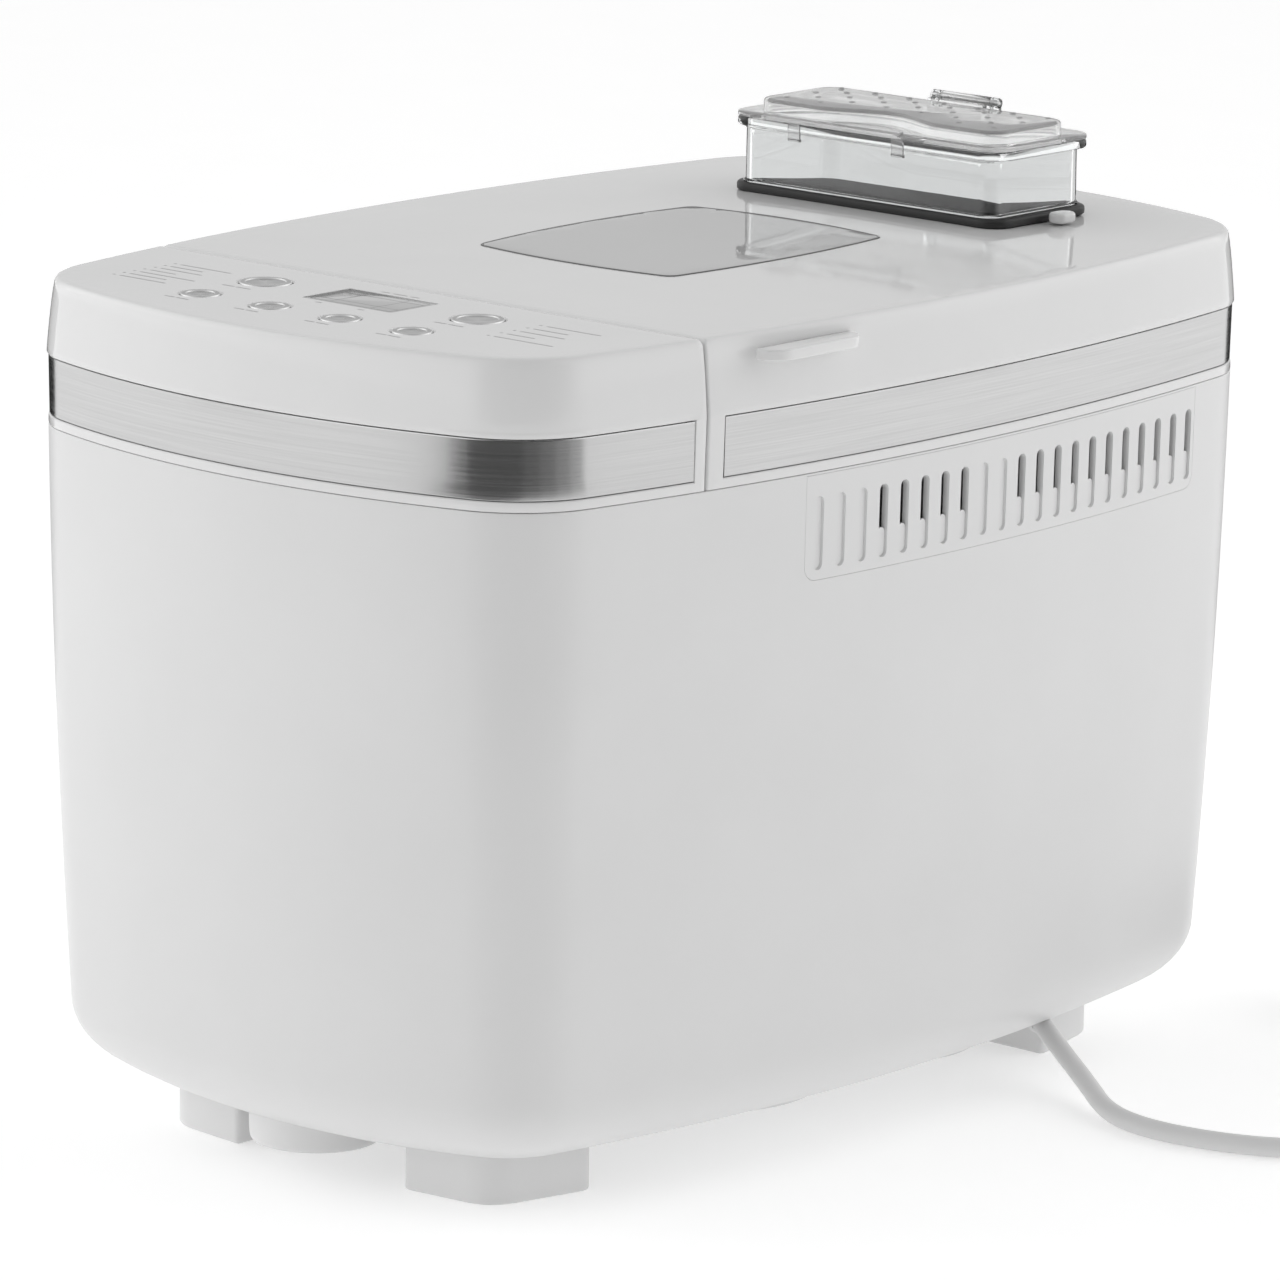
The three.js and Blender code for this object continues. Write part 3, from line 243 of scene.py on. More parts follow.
class Shape:
    """Points and faces gathered before they become one piece."""

    def __init__(self):
        self.points = []
        self.faces = []

    def add(self, points, faces):
        start = len(self.points)
        self.points += [tuple(p) for p in points]
        self.faces += [[start + i for i in face] for face in faces]
        return self

    def loft(self, rings, closed=True, wrap=False, caps=OPEN, skip=None):
        """Quads between rows of equal length: closed joins a row's ends, wrap the last row to the first."""
        count = len(rings[0])
        rows = len(rings)
        faces = []
        for row in range(rows if wrap else rows - 1):
            for i in range(count if closed else count - 1):
                if skip and skip(row, i):
                    continue
                after = (i + 1) % count
                here, above = row * count, (row + 1) % rows * count
                faces.append([here + i, here + after, above + after, above + i])
        if caps[0]:
            faces.append(list(range(count))[::-1])
        if caps[1]:
            faces.append([(rows - 1) * count + i for i in range(count)])
        return self.add([p for ring in rings for p in ring], faces)

    def turned(self, profile, centre, sides=48, axis=(0, 0, 1)):
        """The profile [(radius, height)] turned round an axis through centre."""
        axis = Vector(axis).normalized()
        first = axis.orthogonal().normalized()
        second = axis.cross(first)
        rings = []
        for radius, height in profile:
            rings.append([
                Vector(centre) + axis * height + (first * math.cos(a) + second * math.sin(a)) * radius
                for a in (2 * math.pi * i / sides for i in range(sides))
            ])
        return self.loft(rings)

    def box(self, x, y, z, edge=0.4):
        outline = rounded(
            (x[0] + x[1]) / 2, (y[0] + y[1]) / 2, (x[1] - x[0]) / 2, (y[1] - y[0]) / 2, edge, 3,
        )
        return self.slab(outline, z, edge)

    def slab(self, outline, z, edge=0.4, steps=3):
        """An outline made solid between two heights, with its edges rounded."""
        rings = []
        for level, sign in ((z[0], 1), (z[1], -1)):
            part = []
            for i in range(steps + 1):
                angle = math.pi / 2 * i / steps
                inward = edge * (1 - math.sin(angle))
                z_here = level + sign * edge * (1 - math.cos(angle))
                part.append([(*p, z_here) for p in shrunk(outline, inward)])
            rings += part if sign > 0 else part[::-1]
        return self.loft(rings, caps=SOLID)

    def stack(self, outline, steps, **options):
        """The outline moved inwards and set at a height, for each (inward, height) step."""
        return self.loft([[(*p, z) for p in shrunk(outline, inward)] for inward, z in steps], **options)

    def tube(self, path, radius, sides=16):
        path = [Vector(p) for p in path]
        rings = []
        side = None
        for i, here in enumerate(path):
            way = (path[min(i + 1, len(path) - 1)] - path[max(i - 1, 0)]).normalized()
            side = (side - way * side.dot(way)).normalized() if side else way.orthogonal().normalized()
            other = way.cross(side)
            rings.append([
                here + (side * math.cos(a) + other * math.sin(a)) * radius
                for a in (2 * math.pi * k / sides for k in range(sides))
            ])
        return self.loft(rings, caps=SOLID)

    def sheet(self, outline, holes, height, spacing=7, clear=2.5):
        """A fine triangle mesh inside an outline and round its holes, at height(x, y)."""
        rings = [outline, *holes]
        coords = [Vector(p) for ring in rings for p in ring]
        edges = []
        start = 0
        for ring in rings:
            edges += [(start + i, start + (i + 1) % len(ring)) for i in range(len(ring))]
            start += len(ring)
        boundary = list(coords)
        # the grid stays off the outline's straight edges, where a point would split them unevenly
        xs = [p[0] for p in outline]
        ys = [p[1] for p in outline]
        for i in range(int((max(xs) - min(xs)) / spacing) + 1):
            for j in range(int((max(ys) - min(ys)) / spacing) + 1):
                across, along = (i + 0.25 + 0.5 * (j % 2)) * spacing, (j + 0.45) * spacing
                spot = Vector((min(xs) + across, min(ys) + along))
                if not inside(spot, outline) or any(inside(spot, hole) for hole in holes):
                    continue
                if min((spot - b).length_squared for b in boundary) > clear * clear:
                    coords.append(spot)
        points, _, faces, *_ = delaunay_2d_cdt(coords, edges, [], 0, 1e-6)
        kept = []
        for face in faces:
            middle = sum((points[i] for i in face), Vector((0, 0))) / len(face)
            if inside(middle, outline) and not any(inside(middle, hole) for hole in holes):
                kept.append(list(face))
        return self.add([(p.x, p.y, height(p.x, p.y)) for p in points], kept)

    def piece(self, name, body, finish, slot, replaced=(), sharp=38):
        mesh = bpy.data.meshes.new(name)
        build = bmesh.new()
        made = [build.verts.new(point(*p)) for p in self.points]
        for face in self.faces:
            corners = [made[i] for i in dict.fromkeys(face)]
            if len(corners) > 2 and not build.faces.get(corners):
                build.faces.new(corners)
        bmesh.ops.remove_doubles(build, verts=build.verts, dist=2e-6)
        bmesh.ops.delete(build, geom=[v for v in build.verts if not v.link_faces], context="VERTS")
        bmesh.ops.recalc_face_normals(build, faces=build.faces)
        build.to_mesh(mesh)
        build.free()
        mesh.shade_smooth()
        mesh.set_sharp_from_angle(angle=math.radians(sharp))
        mesh.materials.append(finish)
        made = bpy.data.objects.new(name, mesh)
        bpy.context.scene.collection.objects.link(made)
        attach(made, body)
        if replaced:
            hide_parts(*replaced)
        return made


def inside(spot, ring):
    """Whether a point lies inside a closed outline."""
    found = False
    x, y = spot[0], spot[1]
    before = ring[-1]
    for corner in ring:
        if (corner[1] > y) != (before[1] > y):
            if x < (before[0] - corner[0]) * (y - corner[1]) / (before[1] - corner[1]) + corner[0]:
                found = not found
        before = corner
    return found


def shrunk(outline, inset):
    """An outline moved inwards along its own normals."""
    if not inset:
        return outline
    made = []
    count = len(outline)
    for i, here in enumerate(outline):
        before, after = Vector(outline[i - 1]), Vector(outline[(i + 1) % count])
        here = Vector(here)
        first = (here - before).normalized()
        second = (after - here).normalized()
        normal = Vector((-(first.y + second.y), first.x + second.x))
        if normal.length < 1e-6:
            made.append(tuple(here))
            continue
        normal.normalize()
        share = max(0.5, normal.dot(Vector((-first.y, first.x))))
        made.append(tuple(here + normal * (inset / share)))
    return made


def rounded(x, y, half_x, half_y, radius, steps=6, bow=0):
    """A rectangle's outline with round corners, its sides pushed out in the middle by bow."""
    corners = [(1, -1, -90), (1, 1, 0), (-1, 1, 90), (-1, -1, 180)]
    made = []
    for number, (sx, sy, start) in enumerate(corners):
        for i in range(steps + 1):
            angle = math.radians(start + 90 * i / steps)
            made.append((
                x + sx * (half_x - radius) + radius * math.cos(angle),
                y + sy * (half_y - radius) + radius * math.sin(angle),
            ))
        if bow:
            last = Vector(made[-1])
            next_start = math.radians(corners[(number + 1) % 4][2])
            nx, ny = corners[(number + 1) % 4][:2]
            target = Vector((
                x + nx * (half_x - radius) + radius * math.cos(next_start),
                y + ny * (half_y - radius) + radius * math.sin(next_start),
            ))
            outward = Vector((math.cos(next_start), math.sin(next_start)))
            for i in range(1, 10):
                share = i / 10
                made.append(tuple(last.lerp(target, share) + outward * bow * 4 * share * (1 - share)))
    return made


def circle(x, y, radius, sides):
    turns = (2 * math.pi * i / sides for i in range(sides))
    return [(x + radius * math.cos(a), y + radius * math.sin(a)) for a in turns]


def arc(x, y, radius, start, turn, steps):
    """Points round part of a circle, both ends included, with the angles in degrees."""
    angles = (math.radians(start + turn * i / steps) for i in range(steps + 1))
    return [(x + radius * math.cos(a), y + radius * math.sin(a)) for a in angles]


def smooth(share):
    share = min(max(share, 0), 1)
    return share * share * (3 - 2 * share)


def steps_of(outline, steps):
    """The outline moved inwards, with its height, for each (inward, height) step."""
    return [(shrunk(outline, inward), z) for inward, z in steps]


# ---- the machine's plan ----
def arcs(inset):
    half_x, half_y = HALF_WIDTH - inset, HALF_LENGTH - inset
    corner = max(CORNER - inset / 2, 12)
    side_r = (half_y**2 + SIDE_BOW**2) / (2 * SIDE_BOW)
    end_r = (half_x**2 + END_BOW**2) / (2 * END_BOW)
    side_x, end_y = half_x - side_r, half_y - end_r
    apart = math.hypot(side_x, end_y)
    along = ((side_r - corner) ** 2 - (end_r - corner) ** 2 + apart**2) / (2 * apart)
    across = math.sqrt((side_r - corner) ** 2 - along**2)
    ux, uy = -side_x / apart, end_y / apart
    corner_x, corner_y = side_x + along * ux - across * uy, along * uy + across * ux
    second = math.atan2(corner_y, corner_x - side_x)
    third = math.atan2(corner_y - end_y, corner_x)
    return side_x, side_r, corner_x, corner_y, corner, end_y, end_r, second, third


SIDE_END = 155.0  # about where the long sides' arcs end


def chain(inset, start, stops=()):
    """From y = start on the +X side, round the rear corner, to the middle of the +Y end."""
    side_x, side_r, corner_x, corner_y, corner, end_y, end_r, second, third = arcs(inset)
    side_end = side_r * math.sin(second)
    made = []
    marks = [start, *stops, side_end]
    for low, high in zip(marks, marks[1:]):
        last = high == side_end
        from_y = 20 * math.floor(low / 20) if low == start else low
        steps = 1
        if last or high - low > 0.5:
            steps = max(2, round(((SIDE_END if last else high) - from_y) / 10))
        for i in range(steps):
            y = low + (high - low) * i / steps
            made.append((side_x + math.sqrt(side_r**2 - y**2), y))
    for i in range(14):
        angle = second + (third - second) * i / 14
        made.append((corner_x + corner * math.cos(angle), corner_y + corner * math.sin(angle)))
    for i in range(13):
        angle = third + (math.pi / 2 - third) * i / 12
        made.append((end_r * math.cos(angle), end_y + end_r * math.sin(angle)))
    return made


def mirrored(half):
    return half + [(-x, y) for x, y in half[-2::-1]]


def housing_plan(inset, low_stops=(), high_stops=()):
    rear = mirrored(chain(inset, 0, high_stops))
    front = mirrored(chain(inset, 0, low_stops))
    return rear + [(-x, -y) for x, y in front[1:-1]]


def half_plan(inset, start, stops=(), edge=0.8, across=24):
    """The lid's outline, closed along the parting line. The panel's is the same, turned round."""
    ring = mirrored(chain(inset, start + edge, stops))
    x = ring[0][0]
    for angle in (60, 30):
        a = math.radians(angle)
        ring.append((-x + edge * (1 - math.sin(a)), start + edge * (1 - math.cos(a))))
    for i in range(across + 1):
        ring.append((-(x - edge) + 2 * (x - edge) * i / across, start))
    for angle in (30, 60):
        a = math.radians(angle)
        ring.append((x - edge * (1 - math.sin(a)), start + edge * (1 - math.cos(a))))
    return ring


def lid_plan(inset, seam_in=0, stops=(), gap=0.3):
    return half_plan(inset, SEAM_Y + gap + seam_in, stops)


def panel_plan(inset, seam_in=0, stops=(), gap=0.3):
    return [(-x, -y) for x, y in half_plan(inset, -(SEAM_Y - gap - seam_in), stops)]


def wall_inset(z):
    down = SEAM_Z - z
    return 0.012 * down + 0.0001 * down**2


def crown(x, y):
    return TOP_Z + CROWN * (1 - (x / 125) ** 2) * (1 - ((y - CROWN_Y) / 153) ** 2)


# ---- mains lead ----
LEAD_ROUTE = [
    CORD_EXIT, (104.6, 87, 15.1), (112.7, 83.6, 11.7), (121.2, 79.8, 8.5), (130.6, 74.5, 5.8),
    (142.2, 66.6, 4.1), (150.5, 62.4, 3.5), (159.5, 59.4, 3.4), (171, 58, 3.4),
    (185, 59.3, 3.4), (199, 63.1, 3.4), (212, 69.6, 3.4), (223.4, 78.8, 3.4), (232.8, 90.4, 3.4),
    (239.8, 103.9, 3.4), (244.4, 118.8, 3.4), (246.2, 134, 3.4), (246.3, 150, 3.4), (246.3, 166, 3.4),
    (246.3, 181.2, 3.4), (246.3, 193, 3.4),
]
# degrees turned, radius and height where the coil changes: two turns on the floor, the rest nested on them
COIL_MARKS = [
    (0, 39.6, 3.4), (250, 39.6, 3.4), (350, 33.0, 3.4), (570, 33.0, 3.4), (650, 34.2, 10.0),
    (690, 36.0, 10.0), (725, 36.3, 9.1), (915, 36.3, 9.1), (945, 38.0, 9.9), (970, 39.7, 10.0),
    (1020, 42.9, 9.7), (1080, 42.9, 9.2), (1170, 42.9, 9.1),
]


def coil_points():
    made = []
    for degrees in range(0, 1171, 15):
        for (a, r0, z0), (b, r1, z1) in zip(COIL_MARKS, COIL_MARKS[1:]):
            if a <= degrees <= b:
                share = smooth((degrees - a) / (b - a))
                radius, height = r0 + (r1 - r0) * share, z0 + (z1 - z0) * share
        angle = math.radians(degrees)
        made.append((COIL[0] + radius * math.cos(angle), COIL[1] + radius * math.sin(angle), height))
    return made


def length_of(route):
    return sum((Vector(b) - Vector(a)).length for a, b in zip(route, route[1:])) / 1000


def make_lead():
    tail = [(195, 247.6, 8.9), (184, 245.7, 8.4), (172, 242.8, 7.9), PLUG]
    route = LEAD_ROUTE + coil_points() + tail
    curve = bpy.data.curves.new("mains_lead", "CURVE")
    curve.dimensions = "3D"
    curve.bevel_depth = CORD_R / 1000
    curve.bevel_resolution = 4
    curve.resolution_u = 6
    curve.use_fill_caps = True
    spline = curve.splines.new("BEZIER")
    spline.bezier_points.add(len(route) - 1)
    for place, there in zip(spline.bezier_points, route):
        place.co = point(*there)
        place.handle_left_type = place.handle_right_type = "AUTO"
    curve.materials.append(cord_grey)
    lead = bpy.data.objects.new("mains_lead", curve)
    bpy.context.scene.collection.objects.link(lead)
    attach(lead, "housing")
    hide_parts("cord_lead", "cord_coil")
    return lead, length_of(route)


def make_plug():
    out = Vector((-math.cos(PLUG_TILT), 0, math.sin(PLUG_TILT)))
    profile = [
        (3.4, -1), (4.3, 0), (4.6, 1), (4.7, 2.4), (4.2, 2.8), (4.2, 4), (5, 4.4), (5.1, 6.2),
        (4.6, 6.6), (4.6, 7.8), (5.5, 8.2), (5.7, 10.2), (5.1, 10.6), (5.2, 12), (6.3, 12.6),
        (7.4, 20), (8.4, 23), (11.5, 26.5), (15, 29.5), (16.9, 32), (17.5, 34.5), (17.6, 36),
        (17.2, 36.4), (17.2, 37.2), (17.6, 37.6), (17.6, 43.6), (17.1, 45.4), (15.9, 46.2),
        (12, 46.2), (11.7, 45.6), (0.4, 45.6), (0.01, 45.6),
    ]
    body = Shape().turned(profile, PLUG, 56, out)
    for sign in (-1, 1):
        foot = Vector(PLUG) + Vector((0, sign * 9.5, 0)) + out * 45.4
        body.turned([(4.2, 0), (4.2, 0.8), (3.6, 1.2), (2.5, 1.2)], foot, 24, out)
    body = body.piece("plug", "housing", plug_grey, "plug_plastic", ["plug_body"])
    pins = []
    for sign, side in ((-1, "left"), (1, "right")):
        foot = Vector(PLUG) + Vector((0, sign * 9.5, 0)) + out * 46
        profile = [(0.01, 0.2), (2.4, 0.2), (2.4, 10), (2.25, 10.3), (2.25, 17), (2.0, 18.6), (1.4, 19.4)]
        pin = Shape().turned([*profile, (0.01, 19.6)], foot, 24, out)
        name = f"plug_pin_{side}"
        pins.append(pin.piece(f"{name}_detail", "housing", chrome, "plain_steel", [name]))
    return [body, *pins]


def make_tie():
    shape = Shape()
    centre_r, half = 36.3, 4.6
    section = [(9.3, -0.6), (9.3, 6), (4.2, 13.1), (-4.2, 13.1), (-9.3, 6), (-9.3, -0.6)]
    fine = []
    for i, here in enumerate(section):
        before, after = Vector(section[i - 1]), Vector(section[(i + 1) % len(section)])
        here = Vector(here)
        start, end = here.lerp(before, 0.35), here.lerp(after, 0.35)
        for k in range(5):
            share = k / 4
            fine.append(start.lerp(here, share).lerp(here.lerp(end, share), share))
    rings = []
    edge = half - 0.3
    for width, out in ((-half, 0), (-edge, 0.45), (edge, 0.45), (half, 0), (edge, -0.45), (-edge, -0.45)):
        ring = shrunk([tuple(p) for p in fine], -out)
        rings.append([(COIL[0] - centre_r - x, COIL[1] + width, max(z, 0.1)) for x, z in ring])
    shape.loft(rings, wrap=True)
    x, y = COIL[0] - centre_r, COIL[1]
    shape.box((x - 3.2, x + 3.2), (y - 3, y + 3), (13.2, 14.2), 0.4)
    return shape.piece("lead_tie", "housing", tie_black, "dark_plastic", ["cord_tie"])


def make_gland():
    """The ribbed strain relief inside the housing, tapering towards the notch where the lead leaves."""
    way = Vector(CORD_WAY)
    profile = [(3.32, 0)]
    for i in range(6):
        low = -0.4 - 3.6 * i
        radius = 3.9 + 0.3 * i
        profile += [
            (radius, low), (radius + 0.2, low - 0.4), (radius + 0.25, low - 2), (radius - 0.2, low - 2.5),
        ]
    profile += [(5.6, -21.6), (6.3, -22), (6.3, -26.8), (5.8, -27), (3.3, -27)]
    shape = Shape().turned(profile[::-1], CORD_EXIT, 32, way)
    shape.piece("strain_relief", "housing", cord_grey, "lead_plastic", ["cord_gland"])


lead, lead_length = make_lead()
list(make_plug())
make_tie()
make_gland()

# ---- floor and light ----
def stage_plane(name, corners, finish):
    mesh = bpy.data.meshes.new(name)
    mesh.from_pydata(corners, [], [range(len(corners))])
    mesh.materials.append(finish)
    plane = bpy.data.objects.new(name, mesh)
    bpy.context.scene.collection.objects.link(plane)
    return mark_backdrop(plane) or plane


def glossy_only(plane):
    """A dark card that only reflections see, as a photographer's flag outside the picture."""
    plane.visible_camera = plane.visible_diffuse = plane.visible_shadow = plane.visible_transmission = False


def sky_factor(world, source, low, high, near, far):
    """A smooth change of the sky's brightness from one value of the source to another."""
    spread = world.node_tree.nodes.new("ShaderNodeMapRange")
    spread.interpolation_type = "SMOOTHSTEP"
    for key, value in (("From Min", low), ("From Max", high), ("To Min", near), ("To Max", far)):
        spread.inputs[key].default_value = value
    world.node_tree.links.new(source, spread.inputs["Value"])
    return spread.outputs["Result"]


def make_world():
    """White all round, but dimmer where the camera stands, opposite to it and overhead."""
    world = bpy.data.worlds.new("studio")
    world.use_nodes = True
    nodes, links = world.node_tree.nodes, world.node_tree.links
    place = nodes.new("ShaderNodeTexCoord")
    split = nodes.new("ShaderNodeSeparateXYZ")
    links.new(place.outputs["Generated"], split.inputs[0])
    strength = sky_factor(world, split.outputs["Z"], 0.3, 0.95, SKY, SKY * SKY_TOP)
    for azimuth, edge, core, level in DIM_SECTORS:
        facing = nodes.new("ShaderNodeVectorMath")
        facing.operation = "DOT_PRODUCT"
        angle = math.radians(azimuth)
        facing.inputs[1].default_value = (math.sin(angle), -math.cos(angle), 0)
        links.new(place.outputs["Generated"], facing.inputs[0])
        product = nodes.new("ShaderNodeMath")
        product.operation = "MULTIPLY"
        links.new(strength, product.inputs[0])
        links.new(sky_factor(world, facing.outputs["Value"], edge, core, 1.0, level), product.inputs[1])
        strength = product.outputs["Value"]
    links.new(strength, nodes["Background"].inputs["Strength"])
    nodes["Background"].inputs["Color"].default_value = (1, 1, 1, 1)
    bpy.context.scene.world = world
    bpy.context.scene.view_settings.view_transform = "Standard"


SKY, SKY_TOP = 1.46, 0.45
# azimuth, cosine at the edge, cosine at the core, brightness there
DIM_SECTORS = [(50, 0.46, 0.87, 0.04), (221.4, 0.55, 0.9, 0.45)]
FLOOR_GLOW = 0.32
# name, azimuth, height, distance, size, power
LIGHTS = [
    ("softbox_left", -60, 1.1, 1.7, (1.4, 1.4), 3),
    ("softbox_right", 150, 1.1, 1.7, (1.4, 1.4), 3),
]
# name, azimuth from and to, distance from and to, grey
FLAGS = [
    ("flag_front", -5, 46, 0.8, 3.4, 0.13),
    ("flag_front_mid", 46, 60, 0.8, 3.4, 0.18),
    ("flag_front_edge", 60, 74, 0.8, 3.4, 0.26),
    ("flag_front_fade", 74, 88, 0.8, 3.4, 0.4),
    ("flag_front_end", 88, 102, 0.8, 3.4, 0.6),
    ("flag_back", 180, 272, 0.8, 3.4, 0.02),
]


def make_stage():
    pale = material(
        "floor_pale", (0.9, 0.9, 0.9), 0.7,
        **{"Emission Color": (1, 1, 1, 1), "Emission Strength": FLOOR_GLOW}
    )
    varied(pale, (0.895, 0.905))
    stage_plane("floor", [(-9, -9, 0), (9, -9, 0), (9, 9, 0), (-9, 9, 0)], pale)
    for name, low, high, near, far, grey in FLAGS:
        flag = material(f"{name}_grey", (grey,) * 3, 0.9, **{"Specular IOR Level": 0.0})
        varied(flag, (grey * 0.95, grey * 1.05))
        rim = []
        outer = [(low + (high - low) * i / 12, far) for i in range(13)]
        for azimuth, away in [(high, near), (low, near), *outer]:
            angle = math.radians(azimuth)
            rim.append((math.sin(angle) * away, -math.cos(angle) * away, 0.002))
        glossy_only(stage_plane(name, rim, flag))
    make_world()
    for name, azimuth, height, away, size, power in LIGHTS:
        data = bpy.data.lights.new(name, "AREA")
        data.shape = "RECTANGLE"
        data.size, data.size_y = size
        data.energy = power
        lamp = bpy.data.objects.new(name, data)
        angle = math.radians(azimuth)
        lamp.location = (math.sin(angle) * away, -math.cos(angle) * away, height)
        lamp.rotation_mode = "QUATERNION"
        lamp.rotation_quaternion = (Vector((0, 0, 0.15)) - Vector(lamp.location)).to_track_quat("-Z", "Y")
        bpy.context.scene.collection.objects.link(lamp)


make_stage()


# ---- housing ----
def wall_x(y, z, inset=0):
    """How far the right-hand wall's outside, or a surface inset from it, lies from the middle."""
    side_x, side_r, *_ = arcs(wall_inset(z) + inset)
    return side_x + math.sqrt(side_r**2 - y**2)


def knuckle(low, high, bore, radius, inward, along):
    """A hinge knuckle's profile, with its edges broken by inward x along."""
    flat = radius - inward
    edge = [(radius, low + along), (radius, high - along)]
    return [(bore, low), (flat, low), *edge, (flat, high), (bore, high)]


def both_ends(profile):
    """A pin's profile, given as (radius, distance) for one end, with the same end on the other side."""
    return [(radius, -away) for radius, away in profile[::-1]] + profile


VENT_CORNER = 5.0


def in_vent(a, b, low, high):
    return (
        low > VENT_Z[0] - 0.01 and high < 229.25
        and min(a[1], b[1]) > VENT_Y[0] - 0.01 and max(a[1], b[1]) < VENT_Y[1] + 0.01
    )


def make_housing():
    levels = [(FLOOR_Z, 46), (FLOOR_Z, 38), (FLOOR_Z, 36.6)]
    for i in range(15):
        angle = math.pi / 2 * (1 - i / 14)
        drop = (EDGE_Z - FLOOR_Z) * math.sin(angle)
        levels.append((EDGE_Z - drop, wall_inset(EDGE_Z) + EDGE_IN * (1 - math.cos(angle))))
    for z in (50, 65, 85, 105, 125, 145, 165, 180, 190, VENT_Z[0], 205, 215, 225, 229.2):
        levels.append((z, wall_inset(z)))
    levels += [
        (229.6, 0.03), (229.8, 0.12), (229.88, 0.3), (229.88, 1.9), (229.3, 2.5), (228.8, 2.65),
        (223.2, 2.7),
    ]
    low_stops, high_stops = [-VENT_Y[0]], [VENT_Y[1]]
    rings = [[(*p, z) for p in housing_plan(inset, low_stops, high_stops)] for z, inset in levels]
    plan = rings[20]
    count = len(plan)

    def skip(row, i):
        return in_vent(plan[i], plan[(i + 1) % count], levels[row][0], levels[row + 1][0])

    shape = Shape().loft(rings, skip=skip)
    hole = rounded(0, PAN_Y, CHAMBER_X + 1, CHAMBER_HALF + 1, 30, 10)
    shape.sheet([p[:2] for p in rings[-1]], [hole], lambda x, y: 223.2, 14, 5)
    shape.loft([[(*p, z) for p in hole] for z in (223.2, 220)])
    border = [(VENT_Y[0], 229.2), (VENT_Y[0], 215), (VENT_Y[0], VENT_Z[0])]
    steps = 20
    for i in range(1, steps):
        border.append((VENT_Y[0] + (VENT_Y[1] - VENT_Y[0]) * i / steps, VENT_Z[0]))
    border += [(VENT_Y[1], VENT_Z[0]), (VENT_Y[1], 215), (VENT_Y[1], 229.2)]
    border += [(VENT_Y[1] + (VENT_Y[0] - VENT_Y[1]) * i / steps, 229.2) for i in range(1, steps)]
    seats = Shape()
    for side in (-1, 1):
        rows = [[(side * wall_x(y, z, depth), y, z) for y, z in border] for depth in (0, 0.05, 0.5)]
        back = shrunk(border, 1.2)
        rows.append([(side * wall_x(y, z, 0.5), y, z) for y, z in back])
        seats.loft(rows)
        for corner_y, way in ((VENT_Y[0], 1), (VENT_Y[1], -1)):
            bend = arc(VENT_CORNER, VENT_Z[0] + VENT_CORNER, VENT_CORNER, 180, 90, 8)
            bend = [(corner_y + way * y, z) for y, z in bend]
            points = [(side * wall_x(*p), *p) for p in [(corner_y, VENT_Z[0]), *bend]]
            seats.add(points, [[0, i, i + 1] for i in range(1, 9)])
            rows = [[(side * wall_x(*p, depth), *p) for p in bend] for depth in (0, 0.5)]
            seats.loft(rows, closed=False)
    seats.piece("vent_seats", "housing", housing_white, "housing_plastic", sharp=40)
    for low, high in ((-44, -22), (22, 44)):
        shape.turned(knuckle(low, high, *HINGE_KNUCKLE), HINGE, 32, (1, 0, 0))
        web = [
            (193, 224.6), (HINGE_Y - 1, 225), (HINGE_Y + 2.6, HINGE_Z - 3), (HINGE_Y, HINGE_Z - 0.6),
            (193, HINGE_Z - 0.6),
        ]
        shape.loft([[(x, y, z) for y, z in web] for x in (low + 0.4, high - 0.4)], caps=SOLID)
    shape.piece("housing_shell", "housing", housing_white, "housing_plastic", ["outer_housing"], sharp=40)


def slot_outline(middle, low, high, half):
    """A slot in the vent panel, in (y, z), with round ends."""
    return arc(middle, high - half, half, 0, 180, 8) + arc(middle, low + half, half, 180, 180, 8)


def make_vent(side):
    """The louvred panel let into one side: blind grooves, and open slots in their upper part."""
    sign = 1 if side == "right" else -1
    gap = 0.1
    low, high = VENT_Y[0] + gap, VENT_Y[1] - gap
    outline = [(high + (low - high) * i / 24, 229.1) for i in range(25)]
    radius = VENT_CORNER - gap
    foot = VENT_Z[0] + gap
    outline += arc(low + radius, foot + radius, radius, 180, 90, 6)
    outline += [(low + radius + (high - low - 2 * radius) * i / 24, foot) for i in range(1, 24)]
    outline += arc(high - radius, foot + radius, radius, 270, 90, 6)
    slots = []
    for number in range(SLOTS):
        middle = SLOT_FIRST + SLOT_PITCH * number
        slots.append((middle, slot_outline(middle, 198.6, 222.3, 2.0), 3 <= number <= 7 or number >= 10))
    shape = Shape()
    place = lambda y, z, depth: (sign * wall_x(y, z, depth), y, z)
    shape.sheet(outline, [ring for _, ring, _ in slots], lambda y, z: 0, 5, 1.2)
    shape.points = [place(y, z, 0) for y, z, _ in shape.points]
    rim = [[place(*p, depth) for p in outline] for depth in (0, 0.45)]
    shape.loft(rim)
    for middle, ring, is_open in slots:
        rows = []
        for inward, depth in ((0, 0), (0.03, 0.15), (0.12, 0.35), (0.22, 0.55), (0.3, 0.8)):
            rows.append([place(*p, depth) for p in shrunk(ring, inward)])
        shape.loft(rows, caps=OPEN if is_open else LAST)
        if is_open:
            floor_ring = shrunk(slot_outline(middle, 198.6, 208.5, 2.0), 0.36)
            top = [place(*p, 0.8) for p in floor_ring]
            shape.loft([top, [place(*p, 2.2) for p in floor_ring]], caps=SOLID)
            deep = shrunk(ring, 0.3)
            shape.loft([[place(*p, d) for p in deep] for d in (0.8, 2.2)])
    name, replaced = f"vent_louvres_{side}", [f"vent_panel_{side}"]
    shape.piece(name, "housing", housing_white, "housing_plastic", replaced, sharp=40)


